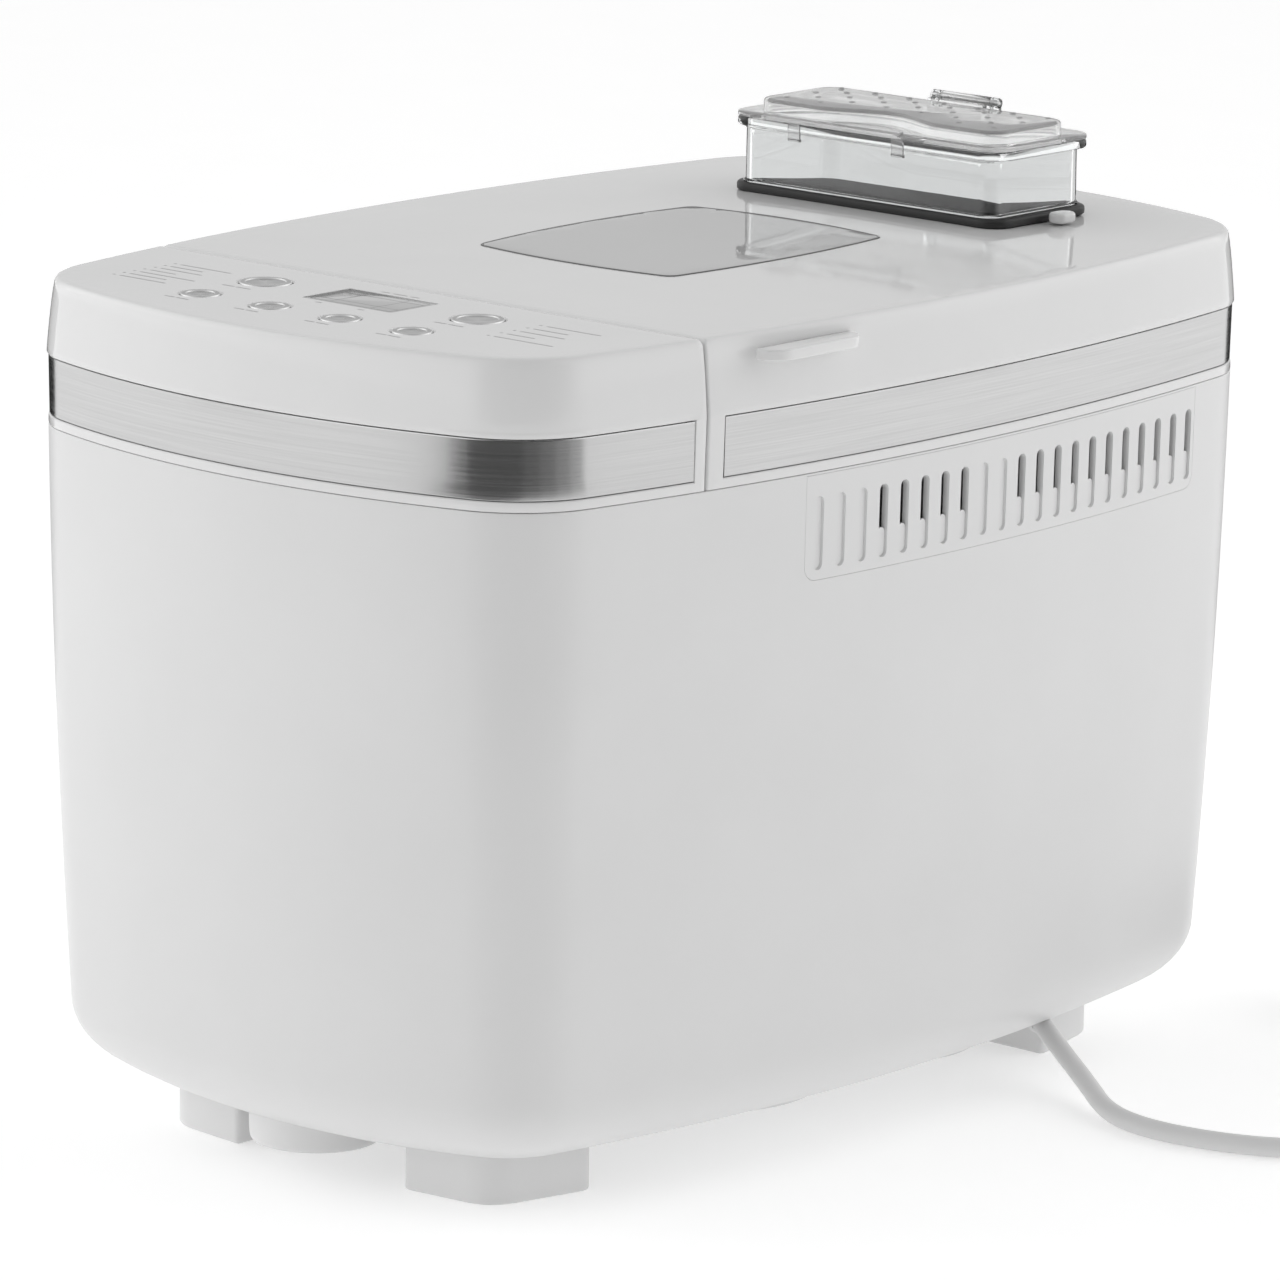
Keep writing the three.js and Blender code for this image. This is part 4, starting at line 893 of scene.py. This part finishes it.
def make_base():
    shape = Shape()
    outline = housing_plan(38.4)
    hole = circle(*MOTOR, 17.4, 32)
    shape.sheet(outline, [hole], lambda x, y: 13.8, 16, 5)
    edge = [(0, 13.8), (-0.25, 14), (-0.3, 16.9)]
    shape.stack(outline, edge)
    for side in (-1, 1):
        for y, r in ((-26, 39), (57, 29)):
            x = side * (48 if r == 39 else 58)
            disc = [(0.01, 12.4), (r - 0.8, 12.4), (r - 0.2, 12.7), (r, 13.2), (r, 14)]
            shape.turned(disc, (x, y, 0), 64)
            for ring in (0.55, 0.75):
                rib = [(-1, 12.42), (-0.6, 12.1), (0.6, 12.1), (1, 12.42)]
                shape.turned([(r * ring + out, z) for out, z in rib], (x, y, 0), 48)
    for x in range(-60, 61, 12):
        shape.box((x - 4, x + 4), (150.5, 152.5), (13.2, 14), 0.3)
    shape.piece("underside", "housing", under_white, "housing_plastic", ["base_plate"])


def make_feet():
    outline = [(36.2, 134), (36.2, 152.2)]
    bends = [
        [(36.2, 152.2), (36.2, 154.4), (38.4, 154.3)],
        [(60, 152), (70, 150.8), (72.6, 141)],
        [(78.6, 116.6), (79.2, 112.8), (76.6, 112.8)],
        [(57, 112.8), (36.2, 112.8), (36.2, 134)],
    ]
    for bend in bends:
        for i in range(7):
            share = i / 6
            weights = ((1 - share) ** 2, 2 * share * (1 - share), share * share)
            outline.append(tuple(sum(w * p[k] for w, p in zip(weights, bend)) for k in (0, 1)))
    outline = [p for i, p in enumerate(outline) if p != outline[i - 1]][::-1]
    for sx, across in ((-1, "left"), (1, "right")):
        for sy, end in ((-1, "front"), (1, "rear")):
            corners = [(sx * x, sy * y) for x, y in outline]
            if sx * sy < 0:
                corners = corners[::-1]
            shape = Shape().slab(corners, (0.02, 16.6), 1.3, 5)
            name = f"foot_{end}_{across}"
            shape.piece(f"{name}_moulding", "housing", under_white, "housing_plastic", [name])


def make_motor_cover():
    x, y = MOTOR
    profile = [
        (0.01, 8.4), (6, 8.4), (6.6, 8.1), (7.4, 8.4), (17.2, 8.4), (17.8, 8.05), (19.4, 8), (20.4, 8.3),
        (20.9, 9), (21.1, 9.8), (21.3, 13.2), (21.3, 18.6), (20.6, 18.8), (0.01, 18.8),
    ]
    shape = Shape().turned(profile, (x, y, 0), 72)
    for i in range(6):
        angle = 2 * math.pi * i / 6
        spot = (x + 12 * math.cos(angle), y + 12 * math.sin(angle), 0)
        shape.turned([(1.6, 8.5), (1.5, 8.2), (0.9, 8.1), (0.01, 8.1)], spot, 20)
    shape.piece("motor_cap", "housing", under_white, "housing_plastic", ["motor_end_cover"])


make_housing()
make_vent("right")
make_vent("left")
make_base()
make_feet()
make_motor_cover()


# ---- collar, bands and panel ----
PANEL_BAND_END = -113.9
LID_BAND_END = -102.2
# height, inset, and where the band is, the inset of its groove
COLLAR = [
    (230.06, 2.4, None), (230.06, 0.3, None), (230.14, 0.12, None), (230.4, 0, None),
    (232.9, 0, None), (233.25, 0.02, 0.3), (233.3, 0.02, 1.35), (252.6, -0.45, 1.35),
    (252.68, -0.46, 0.15), (252.85, -0.47, -0.3), (253.2, -0.48, None), (255, -0.4, None),
    (258, -0.2, None), (262, 0.1, None), (266, 0.42, None), (270, 0.8, None),
    (273.4, 1.18, None), (275.2, 1.45, None), (276.1, 1.72, None), (276.7, 2.08, None),
    (277.05, 2.55, None), (TOP_Z, 3.2, None),
]


def collar_rings(plan, stops, in_band):
    """The wall of the panel or lid: rings of points that step in behind the band only where the band is."""
    rings = []
    for z, inset, groove in COLLAR:
        seam_in = max(0, inset - 1.4) * 0.85 if z > 270 else 0
        outer = plan(inset, seam_in, stops)
        inner = outer if groove is None else plan(groove, seam_in, stops)
        rings.append([(*(b if in_band(a[1]) else a), z) for a, b in zip(outer, inner)])
    return rings


def band_piece(name, plan, stops, in_band, body, node_name):
    """The brushed steel strip in its groove."""
    section = [
        (233.5, 0.75), (233.52, 0.4), (233.66, 0.27), (233.9, 0.24), (240, 0.15), (246, 0.06),
        (252.06, -0.03), (252.3, 0.0), (252.42, 0.14), (252.44, 0.45), (252.44, 1.2), (233.5, 1.2),
    ]
    rows = []
    for z, inset in section:
        ring = plan(inset, 0, stops)
        rows.append([(*p, z) for p in ring if in_band(p[1])])
    split = next((i for i in range(1, len(rows[0])) if math.dist(rows[0][i], rows[0][i - 1]) > 30), 0)
    rows = [row[split:] + row[:split] for row in rows]
    columns = [[row[i] for row in rows] for i in range(len(rows[0]))]
    shape = Shape().loft(columns, caps=SOLID)
    shape.piece(name, body, steel_band, "band_steel", [node_name], sharp=8)


def dish_rings(x, y, radius):
    """The moulded recess round a button, from the panel's surface down to the cap's clearance."""
    steps = [(0.95, 0), (0.85, 0.12), (0.65, 0.3), (0.42, 0.5), (0.35, 0.8), (0.35, 5)]
    return [[(*p, TOP_Z - depth) for p in circle(x, y, radius + more, 64)] for more, depth in steps]


def make_panel():
    stops = [-PANEL_BAND_END - 0.05, -PANEL_BAND_END + 0.05]
    rings = collar_rings(panel_plan, stops, lambda y: y < PANEL_BAND_END)
    shape = Shape().loft(rings)
    holes = []
    for (x, y), r in [*((b, LARGE_R) for b in LARGE_BUTTONS), *((b, SMALL_R) for b in SMALL_BUTTONS)]:
        dish = dish_rings(x, y, r)
        holes.append([p[:2] for p in dish[0]])
        shape.loft(dish)
    display = rounded(*DISPLAY, 19.3, 11.3, 0.9, 4)
    holes.append(display)
    well = [(0, 0), (0.04, 0.1), (0.06, 0.4), (0.08, 1.3), (2.2, 1.35)]
    shape.stack(display, [(inward, TOP_Z - depth) for inward, depth in well])
    shape.sheet([p[:2] for p in rings[-1]], holes, lambda x, y: TOP_Z, 6, 1.6)
    inner = panel_plan(2.4, 1.5, stops)
    shape.loft([[(*p, z) for p in inner] for z in (230.3, 274)], caps=LAST)
    shape.piece("control_panel", "housing", gloss_white, "housing_plastic", ["panel_cover"], sharp=40)
    in_trim = lambda y: y < PANEL_BAND_END - 0.04
    band_piece("panel_trim", panel_plan, stops, in_trim, "housing", "panel_band")


def make_button(name, x, y, radius):
    top = 277.5
    profile = [(2, 262), (2, 271), (radius - 0.6, 272), (radius, 272.6)]
    edge = [(0, 0.7), (0.1, 0.35), (0.3, 0.12), (0.6, 0), (1.6, 0), (1.75, 0.06), (2, 0.4), (2.2, 0.48)]
    profile += [(radius - inward, top - drop) for inward, drop in edge]
    inner = radius - 2.2
    for i in range(1, 15):
        share = 1 - i / 14
        profile.append((max(inner * share, 0.01), top - 0.48 - 0.25 * (1 - share**2)))
    shape = Shape().turned(profile, (x, y, 0), 72)
    shape.piece(f"{name}_cap", name, spun_steel, "button_chrome", [name], sharp=30)


def make_display():
    glass_shape = Shape()
    outline = rounded(*DISPLAY, 19.1, 11.1, 0.8, 4)
    glass_shape.slab(outline, (275.9, 277.05), 0.15, 3)
    glass_shape.piece("display_glass", "housing", display_grey, "display", ["lcd_window"])
    lines = Shape()
    for half_x, half_y, wide in ((19.0, 11.0, 0.45), (17.4, 9.5, 0.22)):
        outer = rounded(*DISPLAY, half_x, half_y, 0.7, 4)
        inner = rounded(*DISPLAY, half_x - wide, half_y - wide, 0.5, 4)
        levels = [(outer, 276.9), (outer, 277.08), (inner, 277.08), (inner, 276.9)]
        lines.loft([[(*p, z) for p in ring] for ring, z in levels])
    for x in (-8.6, 8.9):
        lines.box((x - 0.1, x + 0.1), (-143.2, -125.2), (277.0, 277.07), 0.02)
    for y in (-128.4, -139.8):
        lines.box((-17, 17), (y - 0.1, y + 0.1), (277.0, 277.07), 0.02)
    lines.piece("display_border", "housing", display_dark, "display")


def print_row(shape, x, y, marks, height=0.75):
    """A row of plain bars in place of printed words."""
    low, high = y - height / 2, y + height / 2
    for start, width in marks:
        left, right = x + start, x + start + width
        corners = [(left, low), (right, low), (right, high), (left, high)]
        shape.loft([[(*p, TOP_Z + up) for p in corners] for up in (0.005, 0.035)], caps=SOLID)


def make_prints():
    shape = Shape()
    lengths = [22, 14, 18, 11, 24, 16, 20]
    for x, y, rows, pitch in ((-89, -131, 7, 4.6), (66, -128, 5, 6)):
        for row in range(rows):
            print_row(shape, x, y - pitch * row, [(0, 0.9), (3, lengths[row])])
    for x, y in SMALL_BUTTONS:
        print_row(shape, x - 5, y - 10.6, [(0, 4), (5, 5)])
    for x, y in LARGE_BUTTONS:
        print_row(shape, x - 6, y - 13.2, [(0, 5), (6, 6)])
    print_row(shape, -8, -120.4, [(0, 3.4), (5, 6), (12.6, 3.4)])
    print_row(shape, -10, -148.2, [(0, 2.4), (18, 2.4)])
    shape.piece("panel_marks", "housing", print_grey, "housing_plastic")


make_panel()
for number, (x, y) in enumerate(LARGE_BUTTONS, 1):
    make_button(f"button_large_{number}", x, y, LARGE_R)
for number, (x, y) in enumerate(SMALL_BUTTONS, 1):
    make_button(f"button_small_{number}", x, y, SMALL_R)
make_display()
make_prints()


# ---- lid ----
def window_outline(inset=0):
    return rounded(0, WINDOW_Y, 42 - inset, 53 - inset, 5 - inset * 0.4, 6, 3.5)


def make_lid():
    stops = [LID_BAND_END - 0.05, LID_BAND_END + 0.05, LID_BAND_END + 0.7]
    rings = collar_rings(lid_plan, stops, lambda y: y > LID_BAND_END)
    for number in (-1, -2):
        rings[number] = [(x, y, z + crown(x, y) - TOP_Z) for x, y, z in rings[number]]
    shape = Shape().loft(rings)
    seat = window_outline(-0.45)
    chute = rounded(*CHUTE, 6)
    shape.sheet([p[:2] for p in rings[-1]], [seat, chute], crown, 7, 2.4)
    for hole in (seat, chute):
        steps = ((0, 0), (0.04, 0.1), (0.05, 0.3), (0.06, 4))
        rows = [[(*p, crown(*p) - depth) for p in shrunk(hole, inward)] for inward, depth in steps]
        shape.loft(rows)
    inner = [(230.3, 2.4), (231, 2.5), (241, 2.6)]
    shape.loft([[(*p, z) for p in lid_plan(inset, 2.2, stops)] for z, inset in inner])
    under = [[(*p, 230.3) for p in lid_plan(2.4, seam, stops)] for seam in (0.5, 2.2)]
    shape.loft(under)
    for low, high in ((-62, -44.4), (44.4, 62)):
        shape.turned(knuckle(low, high, *HINGE_KNUCKLE), HINGE, 32, (1, 0, 0))
        web = [(189.5, 230.3), (HINGE_Y, 230.5), (HINGE_Y + 2.2, 232.2), (194, 234.5), (189.5, 234.5)]
        shape.loft([[(x, y, z) for y, z in web] for x in (low + 0.4, high - 0.4)], caps=SOLID)
    shape.piece("lid_shell", "lid", gloss_white, "lid_plastic", ["lid_cover"], sharp=40)
    band_piece("lid_trim", lid_plan, stops, lambda y: y > LID_BAND_END + 0.6, "lid", "lid_band")


def make_window():
    shape = Shape()
    outline = window_outline(0.35)
    edge = [(0.1, -0.22), (0.02, -0.2), (0, -0.1), (0, 0.55), (0, 1.8)]
    rows = [[(*p, crown(*p) - depth) for p in shrunk(outline, inward)] for inward, depth in edge]
    shape.loft(rows)
    shape.sheet([p[:2] for p in rows[0]], [], lambda x, y: crown(x, y) + 0.22, 7, 2.4)
    # a dark ring set into the gap between the glass and the lid's opening, standing a little proud of the
    # top: its dark colour is painted shade of the gap
    rim = Shape()
    gap_shade_steps = [(-0.25, -1), (-0.25, 0.2), (-0.15, 0.3), (0.2, 0.3), (0.3, 0.2), (0.3, -1)]
    gap_shade_rows = [[(*p, crown(*p) + up) for p in window_outline(inset)] for inset, up in gap_shade_steps]
    rim.loft(gap_shade_rows, wrap=True)
    rim.piece("window_rim", "lid", display_dark, "window_glass")
    shape.sheet([p[:2] for p in rows[-1]], [], lambda x, y: crown(x, y) - 1.8, 14, 4)
    shape.piece("window_glass", "lid", tinted_glass, "window_glass", ["lid_window"])


def hollow_ring(shape, steps):
    """A ring-shaped solid from (outline, height) steps up the outside and down the inside."""
    return shape.loft([[(*p, z) for p in outline] for outline, z in steps], wrap=True)


def make_liner():
    stops = [LID_BAND_END]
    shape = Shape()
    edge = lid_plan(3.2, 3.4, stops)
    well = rounded(0, WINDOW_Y, 36, 47, 8, 6)
    chute = rounded(0, 128, 55, 28, 6, 6)

    def emboss(x, y):
        """Raised field of the pressed steel sheet, with a soft shoulder."""
        reach = max(abs(x) / 78, abs(y - 45) / 118)
        return 238 - 1.6 * smooth((1.02 - reach) / 0.06)

    shape.sheet(edge, [well, chute], emboss, 5, 2)
    shape.loft([[(*p, z) for p in edge] for z in (238, 240)])
    for hole, inward, mouth, top in (
        (well, -1, rounded(0, WINDOW_Y, 38, 49, 6, 6), 276),
        (chute, 0.5, rounded(*CHUTE, 6), 276.8),
    ):
        foot = [(*p, emboss(*p)) for p in hole]
        neck = [(*p, 240) for p in shrunk(hole, inward)]
        shape.loft([foot, neck, [(*p, top) for p in mouth]])
    for x in (-62, 62):
        for y in (-60, 0, 90):
            shape.turned([(2.6, 236.3), (2.3, 235.6), (1.2, 235.1), (0.01, 235.1)], (x, y, 0), 20)
    shape.piece("lid_lining", "lid", liner_steel, "liner_steel", ["lid_liner"])
    seal = Shape()
    outer, inner = rounded(0, 45, 97, 134, 34, 12), rounded(0, 45, 92, 129, 30, 12)
    outside = [(0, 237.7), (-0.2, 236), (0, 234), (0.9, 232.2), (2.2, 231.6)]
    inside_steps = [(-1.2, 232.0), (0, 233.4), (-0.6, 235), (0, 236.4), (0, 237.7)]
    hollow_ring(seal, steps_of(outer, outside) + steps_of(inner, inside_steps))
    seal.piece("lid_gasket", "lid", seal_grey, "seal_rubber", ["lid_seal"], sharp=60)


def make_tab(side):
    sign = 1 if side == "right" else -1
    low, high, out, wall = -91.5, -47.5, 131.2, 122.6
    outline = [(wall, low), (out - 8, low)]
    outline += arc(out - 8, low + 8, 8, -90, 90, 8) + arc(out - 8, high - 8, 8, 0, 90, 8)
    outline.append((wall, high))
    outline = [p for i, p in enumerate(outline) if math.dist(p, outline[i - 1]) > 0.01]
    if sign < 0:
        outline = [(-x, y) for x, y in outline][::-1]
    shape = Shape().slab(outline, (269.2, 272.9), 0.7, 4)
    shape.piece(f"finger_tab_{side}", "lid", gloss_white, "lid_plastic", [f"lid_tab_{side}"])


def make_hinge_pin():
    profile = both_ends([(1.8, 61), (1.6, 61.7), (1, 62.1), (0.01, 62.2)])
    pin = Shape().turned(profile, HINGE, 32, (1, 0, 0))
    pin.piece("hinge_rod", "housing", plain_steel, "plain_steel", ["lid_hinge_pin"])


make_lid()
make_window()
make_liner()
make_tab("right")
make_tab("left")
make_hinge_pin()


# ---- ingredient dispenser ----
def tray(half_x, half_y, radius):
    return rounded(0, TRAY_Y, half_x, half_y, radius, 8)


def make_dispenser():
    gasket = Shape()
    outer, inner = tray(58.5, 26, 8), tray(52.6, 23, 4)
    outside = [(0.8, 278.4), (0.1, 278.9), (0, 279.6), (0, 280.6), (0.25, 281.2), (0.9, 281.6)]
    inside_steps = [(-1.2, 281.6), (-0.3, 281.3), (0, 280.6), (0, 278.4)]
    hollow_ring(gasket, steps_of(outer, outside) + steps_of(inner, inside_steps))
    gasket.piece("dispenser_gasket", "lid", dark_trim, "dark_plastic", ["dispenser_flange"])
    box = Shape()
    # half length, half width, corner radius and height, up the outside and down the inside
    steps = [
        (55.4, 24.9, 6.4, 281.75), (55.6, 25.1, 6.5, 282.1), (55.4, 24.9, 6.4, 282.5), (54.9, 24.4, 6, 282.8),
        (54.8, 24.3, 6, 299.6), (55.3, 24.8, 6.4, 300.4), (57.8, 25.5, 7.6, 300.9), (58.4, 25.9, 8, 301.3),
        (58.5, 26, 8, 301.8), (58.5, 26, 8, 303), (58.2, 25.7, 7.8, 303.5), (57.8, 25.3, 7.5, 303.6),
        (54, 23.4, 5.4, 303.6), (53.5, 22.9, 5, 303.4), (53.2, 22.6, 4.5, 302.8), (53.2, 22.6, 4.5, 282.2),
        (53.4, 22.8, 4.6, 281.75),
    ]
    hollow_ring(box, [(tray(*size), z) for *size, z in steps])
    for low, high in ((-14.4, -11.2), (11.2, 14.4)):
        box.box((low, high), (154.6, 159.4), (301.2, 309.4), 0.5)
        box.turned(knuckle(low, high, *TRAY_KNUCKLE), TRAY_HINGE, 28, (1, 0, 0))
    box.piece("dispenser_walls", "lid", glass, "clear_plastic", ["dispenser_box"])
    pin = Shape().turned(both_ends([(0.7, 13.9), (0.5, 14.2), (0.01, 14.3)]), TRAY_HINGE, 24, (1, 0, 0))
    pin.piece("dispenser_rod", "lid", plain_steel, "plain_steel", ["dispenser_hinge_pin"])
    flap = Shape().slab(rounded(0, 129.2, 51.4, 22.2, 4, 6), (279.3, 280.9), 0.3, 3)
    flap.slab(rounded(0, 131, 50.8, 19.8, 3, 6), (280.7, 283), 0.5, 3)
    flap.turned(both_ends([(1.3, 49.4), (1.1, 49.8), (0.01, 50)]), (0, 107.9, 280.2), 20, (1, 0, 0))
    flap.piece("dispenser_floor", "dispenser_flap", dark_moulding, "dark_plastic", ["dispenser_flap"])
    catch = Shape().slab(rounded(64.2, 130.7, 3.4, 4.7, 3, 8), (278.9, 282.4), 1.1, 5)
    catch.piece("dispenser_latch", "dispenser_catch", gloss_white, "lid_plastic", ["dispenser_catch"])


def plateau():
    """The dispenser lid's raised field, its front edge swept back round the finger scoop."""
    outline = tray(52.5, 20, 8)
    front = [p for p in outline if p[1] < 112]
    left = max((p for p in front if p[0] < 0), key=lambda p: p[0])
    right = min((p for p in front if p[0] > 0), key=lambda p: p[0])
    sweep = []
    for i in range(1, 40):
        x = left[0] + (right[0] - left[0]) * i / 40
        sweep.append((x, left[1] + 8.5 * smooth(1 - abs(x - 1) / 27)))
    where = outline.index(left)
    return outline[: where + 1] + sweep + outline[where + 1 :]


def make_dispenser_lid():
    """A moulded cover: a thin rim plate and a raised field that is hollow underneath."""
    shape = Shape()
    rim = tray(58.5, 26, 8)
    top = plateau()
    low, plate, high = 303.9, 305.5, 309.8
    edge = [(0.4, low), (0.1, low + 0.1), (0, low + 0.4)]
    edge += [(0, plate - 0.4), (0.1, plate - 0.1), (0.4, plate)]
    shape.stack(rim, edge)
    shape.sheet(shrunk(rim, 0.4), [shrunk(top, -0.2)], lambda x, y: plate, 7, 2)
    outside = [(-0.2, plate), (0, plate + 0.3), (0.1, high - 1)]
    outside += [(0.4, high - 0.4), (0.8, high - 0.1), (1.5, high)]
    shape.stack(top, outside, caps=LAST)
    shape.sheet(shrunk(rim, 0.4), [shrunk(top, 1.4)], lambda x, y: low, 7, 2)
    hollow = [(1.4, low), (1.5, low + 0.3), (1.6, high - 2), (2, high - 1.5)]
    shape.stack(top, hollow, caps=LAST)
    path = [(1 + 15 * x, 103.8 + 7 * y, plate + 0.2) for x, y in arc(0, 0, 1, 0, 180, 32)]
    shape.tube(path, 0.4, 8)
    for x in (-29.5, 15.5):
        shape.box((x - 2.6, x + 2.6), (102.9, 103.9), (298.3, 304.2), 0.25)
        shape.box((x - 2.6, x + 2.6), (102.9, 104.3), (297.9, 299), 0.25)
    shape.box((-10.6, 10.6), (153.6, 158), (305.3, 309.2), 0.5)
    shape.turned(knuckle(-10.6, 10.6, *TRAY_KNUCKLE), TRAY_HINGE, 28, (1, 0, 0))
    shape.piece("dispenser_cover", "dispenser_lid", clear_cover, "clear_plastic", ["dispenser_lid"])
    dots = Shape()
    for row, y in enumerate((117.5, 125, 132.5, 140, 146)):
        for column in range(7):
            x = -45 + column * 15 + (row % 2) * 7.5
            if abs(x) < 49 and not (abs(x - 1) < 20 and y < 120):
                dots.turned([(1.1, 309.82), (1.0, 310), (0.6, 310.1), (0.01, 310.1)], (x, y, 0), 16)
    dots.piece("dispenser_cover_pips", "dispenser_lid", pip_grey, "clear_plastic")


make_dispenser()
make_dispenser_lid()


# ---- baking chamber ----
def make_chamber():
    shape = Shape()
    low = 61.2
    outline = rounded(0, PAN_Y, CHAMBER_X - 1.2, CHAMBER_HALF - 1.2, 29, 12)
    steps = [(-7, 223.4), (-7.2, 224), (-6.8, 224.8), (-2.6, 224.9), (-2, 225.6), (-1.2, 226.2)]
    steps += [(-0.6, 226.4), (0, 226.2), (0, 225), *((0, z) for z in (200, 160, 120, 90, low + 9))]
    for i in range(1, 7):
        angle = math.pi / 2 * i / 6
        steps.append((9 - 9 * math.cos(angle), low + 9 - 9 * math.sin(angle)))
    rows = [[(*p, z) for p in ring] for ring, z in steps_of(outline, steps)]
    shape.loft(rows)
    floor_edge = [p[:2] for p in rows[-1]]
    holes = [circle(0, y, 12.5, 40) for y in SHAFTS_Y]
    shape.sheet(floor_edge, holes, lambda x, y: low, 12, 4)
    for y in SHAFTS_Y:
        shape.turned([(12.5, low), (12.3, low + 0.7), (11.6, low + 1), (11.5, low - 1.2)], (0, y, 0), 40)
        shape.turned([(24, low), (23.4, low + 0.8), (22.6, low + 0.8), (22, low)], (0, y, 0), 48)
    shape.piece("chamber_lining", "housing", liner_steel, "liner_steel", ["chamber_liner"])


def round_path(points, steps=6):
    """A smooth path through points."""
    points = [Vector(p) for p in points]
    made = []
    for i in range(len(points) - 1):
        a, b = points[max(i - 1, 0)], points[i]
        c, d = points[i + 1], points[min(i + 2, len(points) - 1)]
        for k in range(steps):
            t = k / steps
            square, cube = 2 * a - 5 * b + 4 * c - d, 3 * b - a - 3 * c + d
            made.append(0.5 * (2 * b + (c - a) * t + square * t * t + cube * t**3))
    return made + [points[-1]]


def loop_points(half_x, near, far, corner, z):
    right = [(half_x, near + (far - near - corner) * i / 3, z) for i in range(4)]
    right += [(*p, z) for p in arc(half_x - corner, far - corner, corner, 30, 60, 2)]
    return right + [(0, far, z)] + [(-x, y, level) for x, y, level in right[::-1]]


def make_element():
    z, front = 72, PAN_Y - CHAMBER_HALF
    ends = [
        (14, front - 12, z), (14, front + 4, z), (20, front + 12, z), (45, front + 13, z),
        (68, front + 16, z),
    ]
    points = [
        *ends, *loop_points(81, front + 32, PAN_Y + CHAMBER_HALF - 12, 26, z),
        *[(-x, y, h) for x, y, h in ends[::-1]]
    ]
    shape = Shape().tube(round_path(points), 3.2, 20)
    collar = [(3.2, 0), (6, 0), (6.4, 0.5), (6.4, 2.4), (5.8, 3), (3.2, 3.2)]
    for x in (-14, 14):
        shape.turned(collar, (x, front + 1.4, z), 28, (0, 1, 0))
    shape.piece("heater_loop", "housing", plain_steel, "plain_steel", ["heating_element"])
    profile = [(7, -12), (7, -6), (4, -5.6), (4, 5.6), (3.4, 6.6), (2, 7), (0.01, 7)]
    probe = Shape().turned(profile, (40, front, 100), 32, (0, 1, 0))
    probe.piece("heat_probe", "housing", plain_steel, "plain_steel", ["temperature_sensor"])


def make_pan():
    shape = Shape()

    def ring(z, half_x, radius):
        return [(*p, z) for p in rounded(0, PAN_Y, half_x, half_x + PAN_LONGER, radius, 10)]

    foot = [(74, 54, 14), (74, 56, 16), (81, 56, 16), (83, 60, 19), (86, 63, 21), (92, 64.2, 22)]
    wall = [(z, 64 + 4 * (z - 88) / 124, 22) for z in (120, 150, 180, 207, 209.4)]
    lip = [
        (209.8, 70.4, 25), (210.4, 71, 25), (211.4, 71, 25), (212, 70.3, 24.4), (212, 67.6, 21.6),
        (211.4, 66.8, 21),
    ]
    inner = [(z, 66.5 - 4 * (210 - z) / 120, 21) for z in (208, 180, 150, 120, 95)]
    floor = [(89.5, 61.6, 19), (86.6, 59, 17), (85.6, 56, 14.5)]
    rows = [ring(*step) for step in (*foot, *wall, *lip, *inner, *floor)]
    shape.loft(rows)
    holes = [circle(0, y, 6, 32) for y in SHAFTS_Y]
    shape.sheet([p[:2] for p in rows[-1]], holes, lambda x, y: 85.5, 12, 4)
    boss = [(9, 78), (9, 84.5), (14, 85.6), (13.6, 86.2), (6.4, 86.2), (6, 85.5), (4.6, 85.5), (4.6, 78)]
    for y in SHAFTS_Y:
        shape.turned(boss, (0, y, 0), 40)
    for side in (-1, 1):
        ear = [(PAN_Y - 7, 204), (PAN_Y + 7, 204), (PAN_Y + 7, 216)]
        for i in range(9):
            angle = math.pi * i / 8
            ear.append((PAN_Y + 7 * math.cos(angle), 216 + 6 * math.sin(angle)))
        ear = ear[:3] + ear[4:-1] + [(PAN_Y - 7, 216)]
        shape.loft([[(side * x, y, z) for y, z in ear] for x in (68.1, 70.2)], caps=SOLID)
    shape.piece("pan_moulding", "pan", pan_coating, "pan_coating", ["bread_pan"])
    z = 217
    end = [(66, PAN_Y, z), (69, PAN_Y, z), (72, PAN_Y, z), (75.6, PAN_Y + 2.2, z)]
    arm = loop_points(76.5, PAN_Y + 10, PAN_Y + 108, 24, z)
    path = round_path([*end, *arm, *[(-x, y, h) for x, y, h in end[::-1]]])
    handle = Shape().tube(path, 2.2, 16)
    handle.piece("pan_bail", "pan_handle", plain_steel, "plain_steel", ["pan_handle"])


def make_paddle(name, y):
    shape = Shape()
    hub = [
        (4.3, 86.8), (9.6, 86.8), (10, 87.4), (9.4, 92), (8.6, 99), (7.4, 107), (6.8, 109.4), (6, 110.2),
        (4.8, 110.4), (4.3, 110),
    ]
    shape.turned(hub, (0, y, 0), 40)
    rows = []
    for i in range(13):
        share = i / 12
        x = 5 + 31.5 * share
        top = 101 + 4 * math.sin(math.pi * share * 0.8) - 12 * share**6
        low = 87.1 + 1.2 * share**4
        half = 2.3 - 1.1 * share
        row = []
        for k in range(12):
            angle = 2 * math.pi * k / 12
            z = (top + low) / 2 + (top - low) / 2 * math.sin(angle)
            row.append((x + 0.8 * math.sin(angle) * share, y + half * math.cos(angle), z))
        rows.append(row)
    shape.loft(rows, caps=SOLID)
    shape.piece(f"kneading_{name}", name, pan_coating, "pan_coating", [name])


make_chamber()
make_element()
make_pan()
for name, y in zip(("paddle_front", "paddle_rear"), SHAFTS_Y):
    make_paddle(name, y)


# ---- parts kept from the CAD, with their finishes ----
KEPT = {
    "control_board": board_green,
    "paddle_shaft_front": plain_steel, "paddle_shaft_rear": plain_steel,
    "drive_shaft_front": plain_steel, "drive_shaft_rear": plain_steel,
    "bearing_front": plain_steel, "bearing_rear": plain_steel,
    "drive_pulley_front": dark_moulding, "drive_pulley_rear": dark_moulding,
    "motor_pulley": plain_steel, "motor": plain_steel, "drive_frame": liner_steel,
    "belt_lower": belt_rubber, "belt_upper": belt_rubber,
}
for name, finish in KEPT.items():
    mesh = bpy.data.objects[name].data
    for number in range(len(mesh.materials)):
        mesh.materials[number] = finish
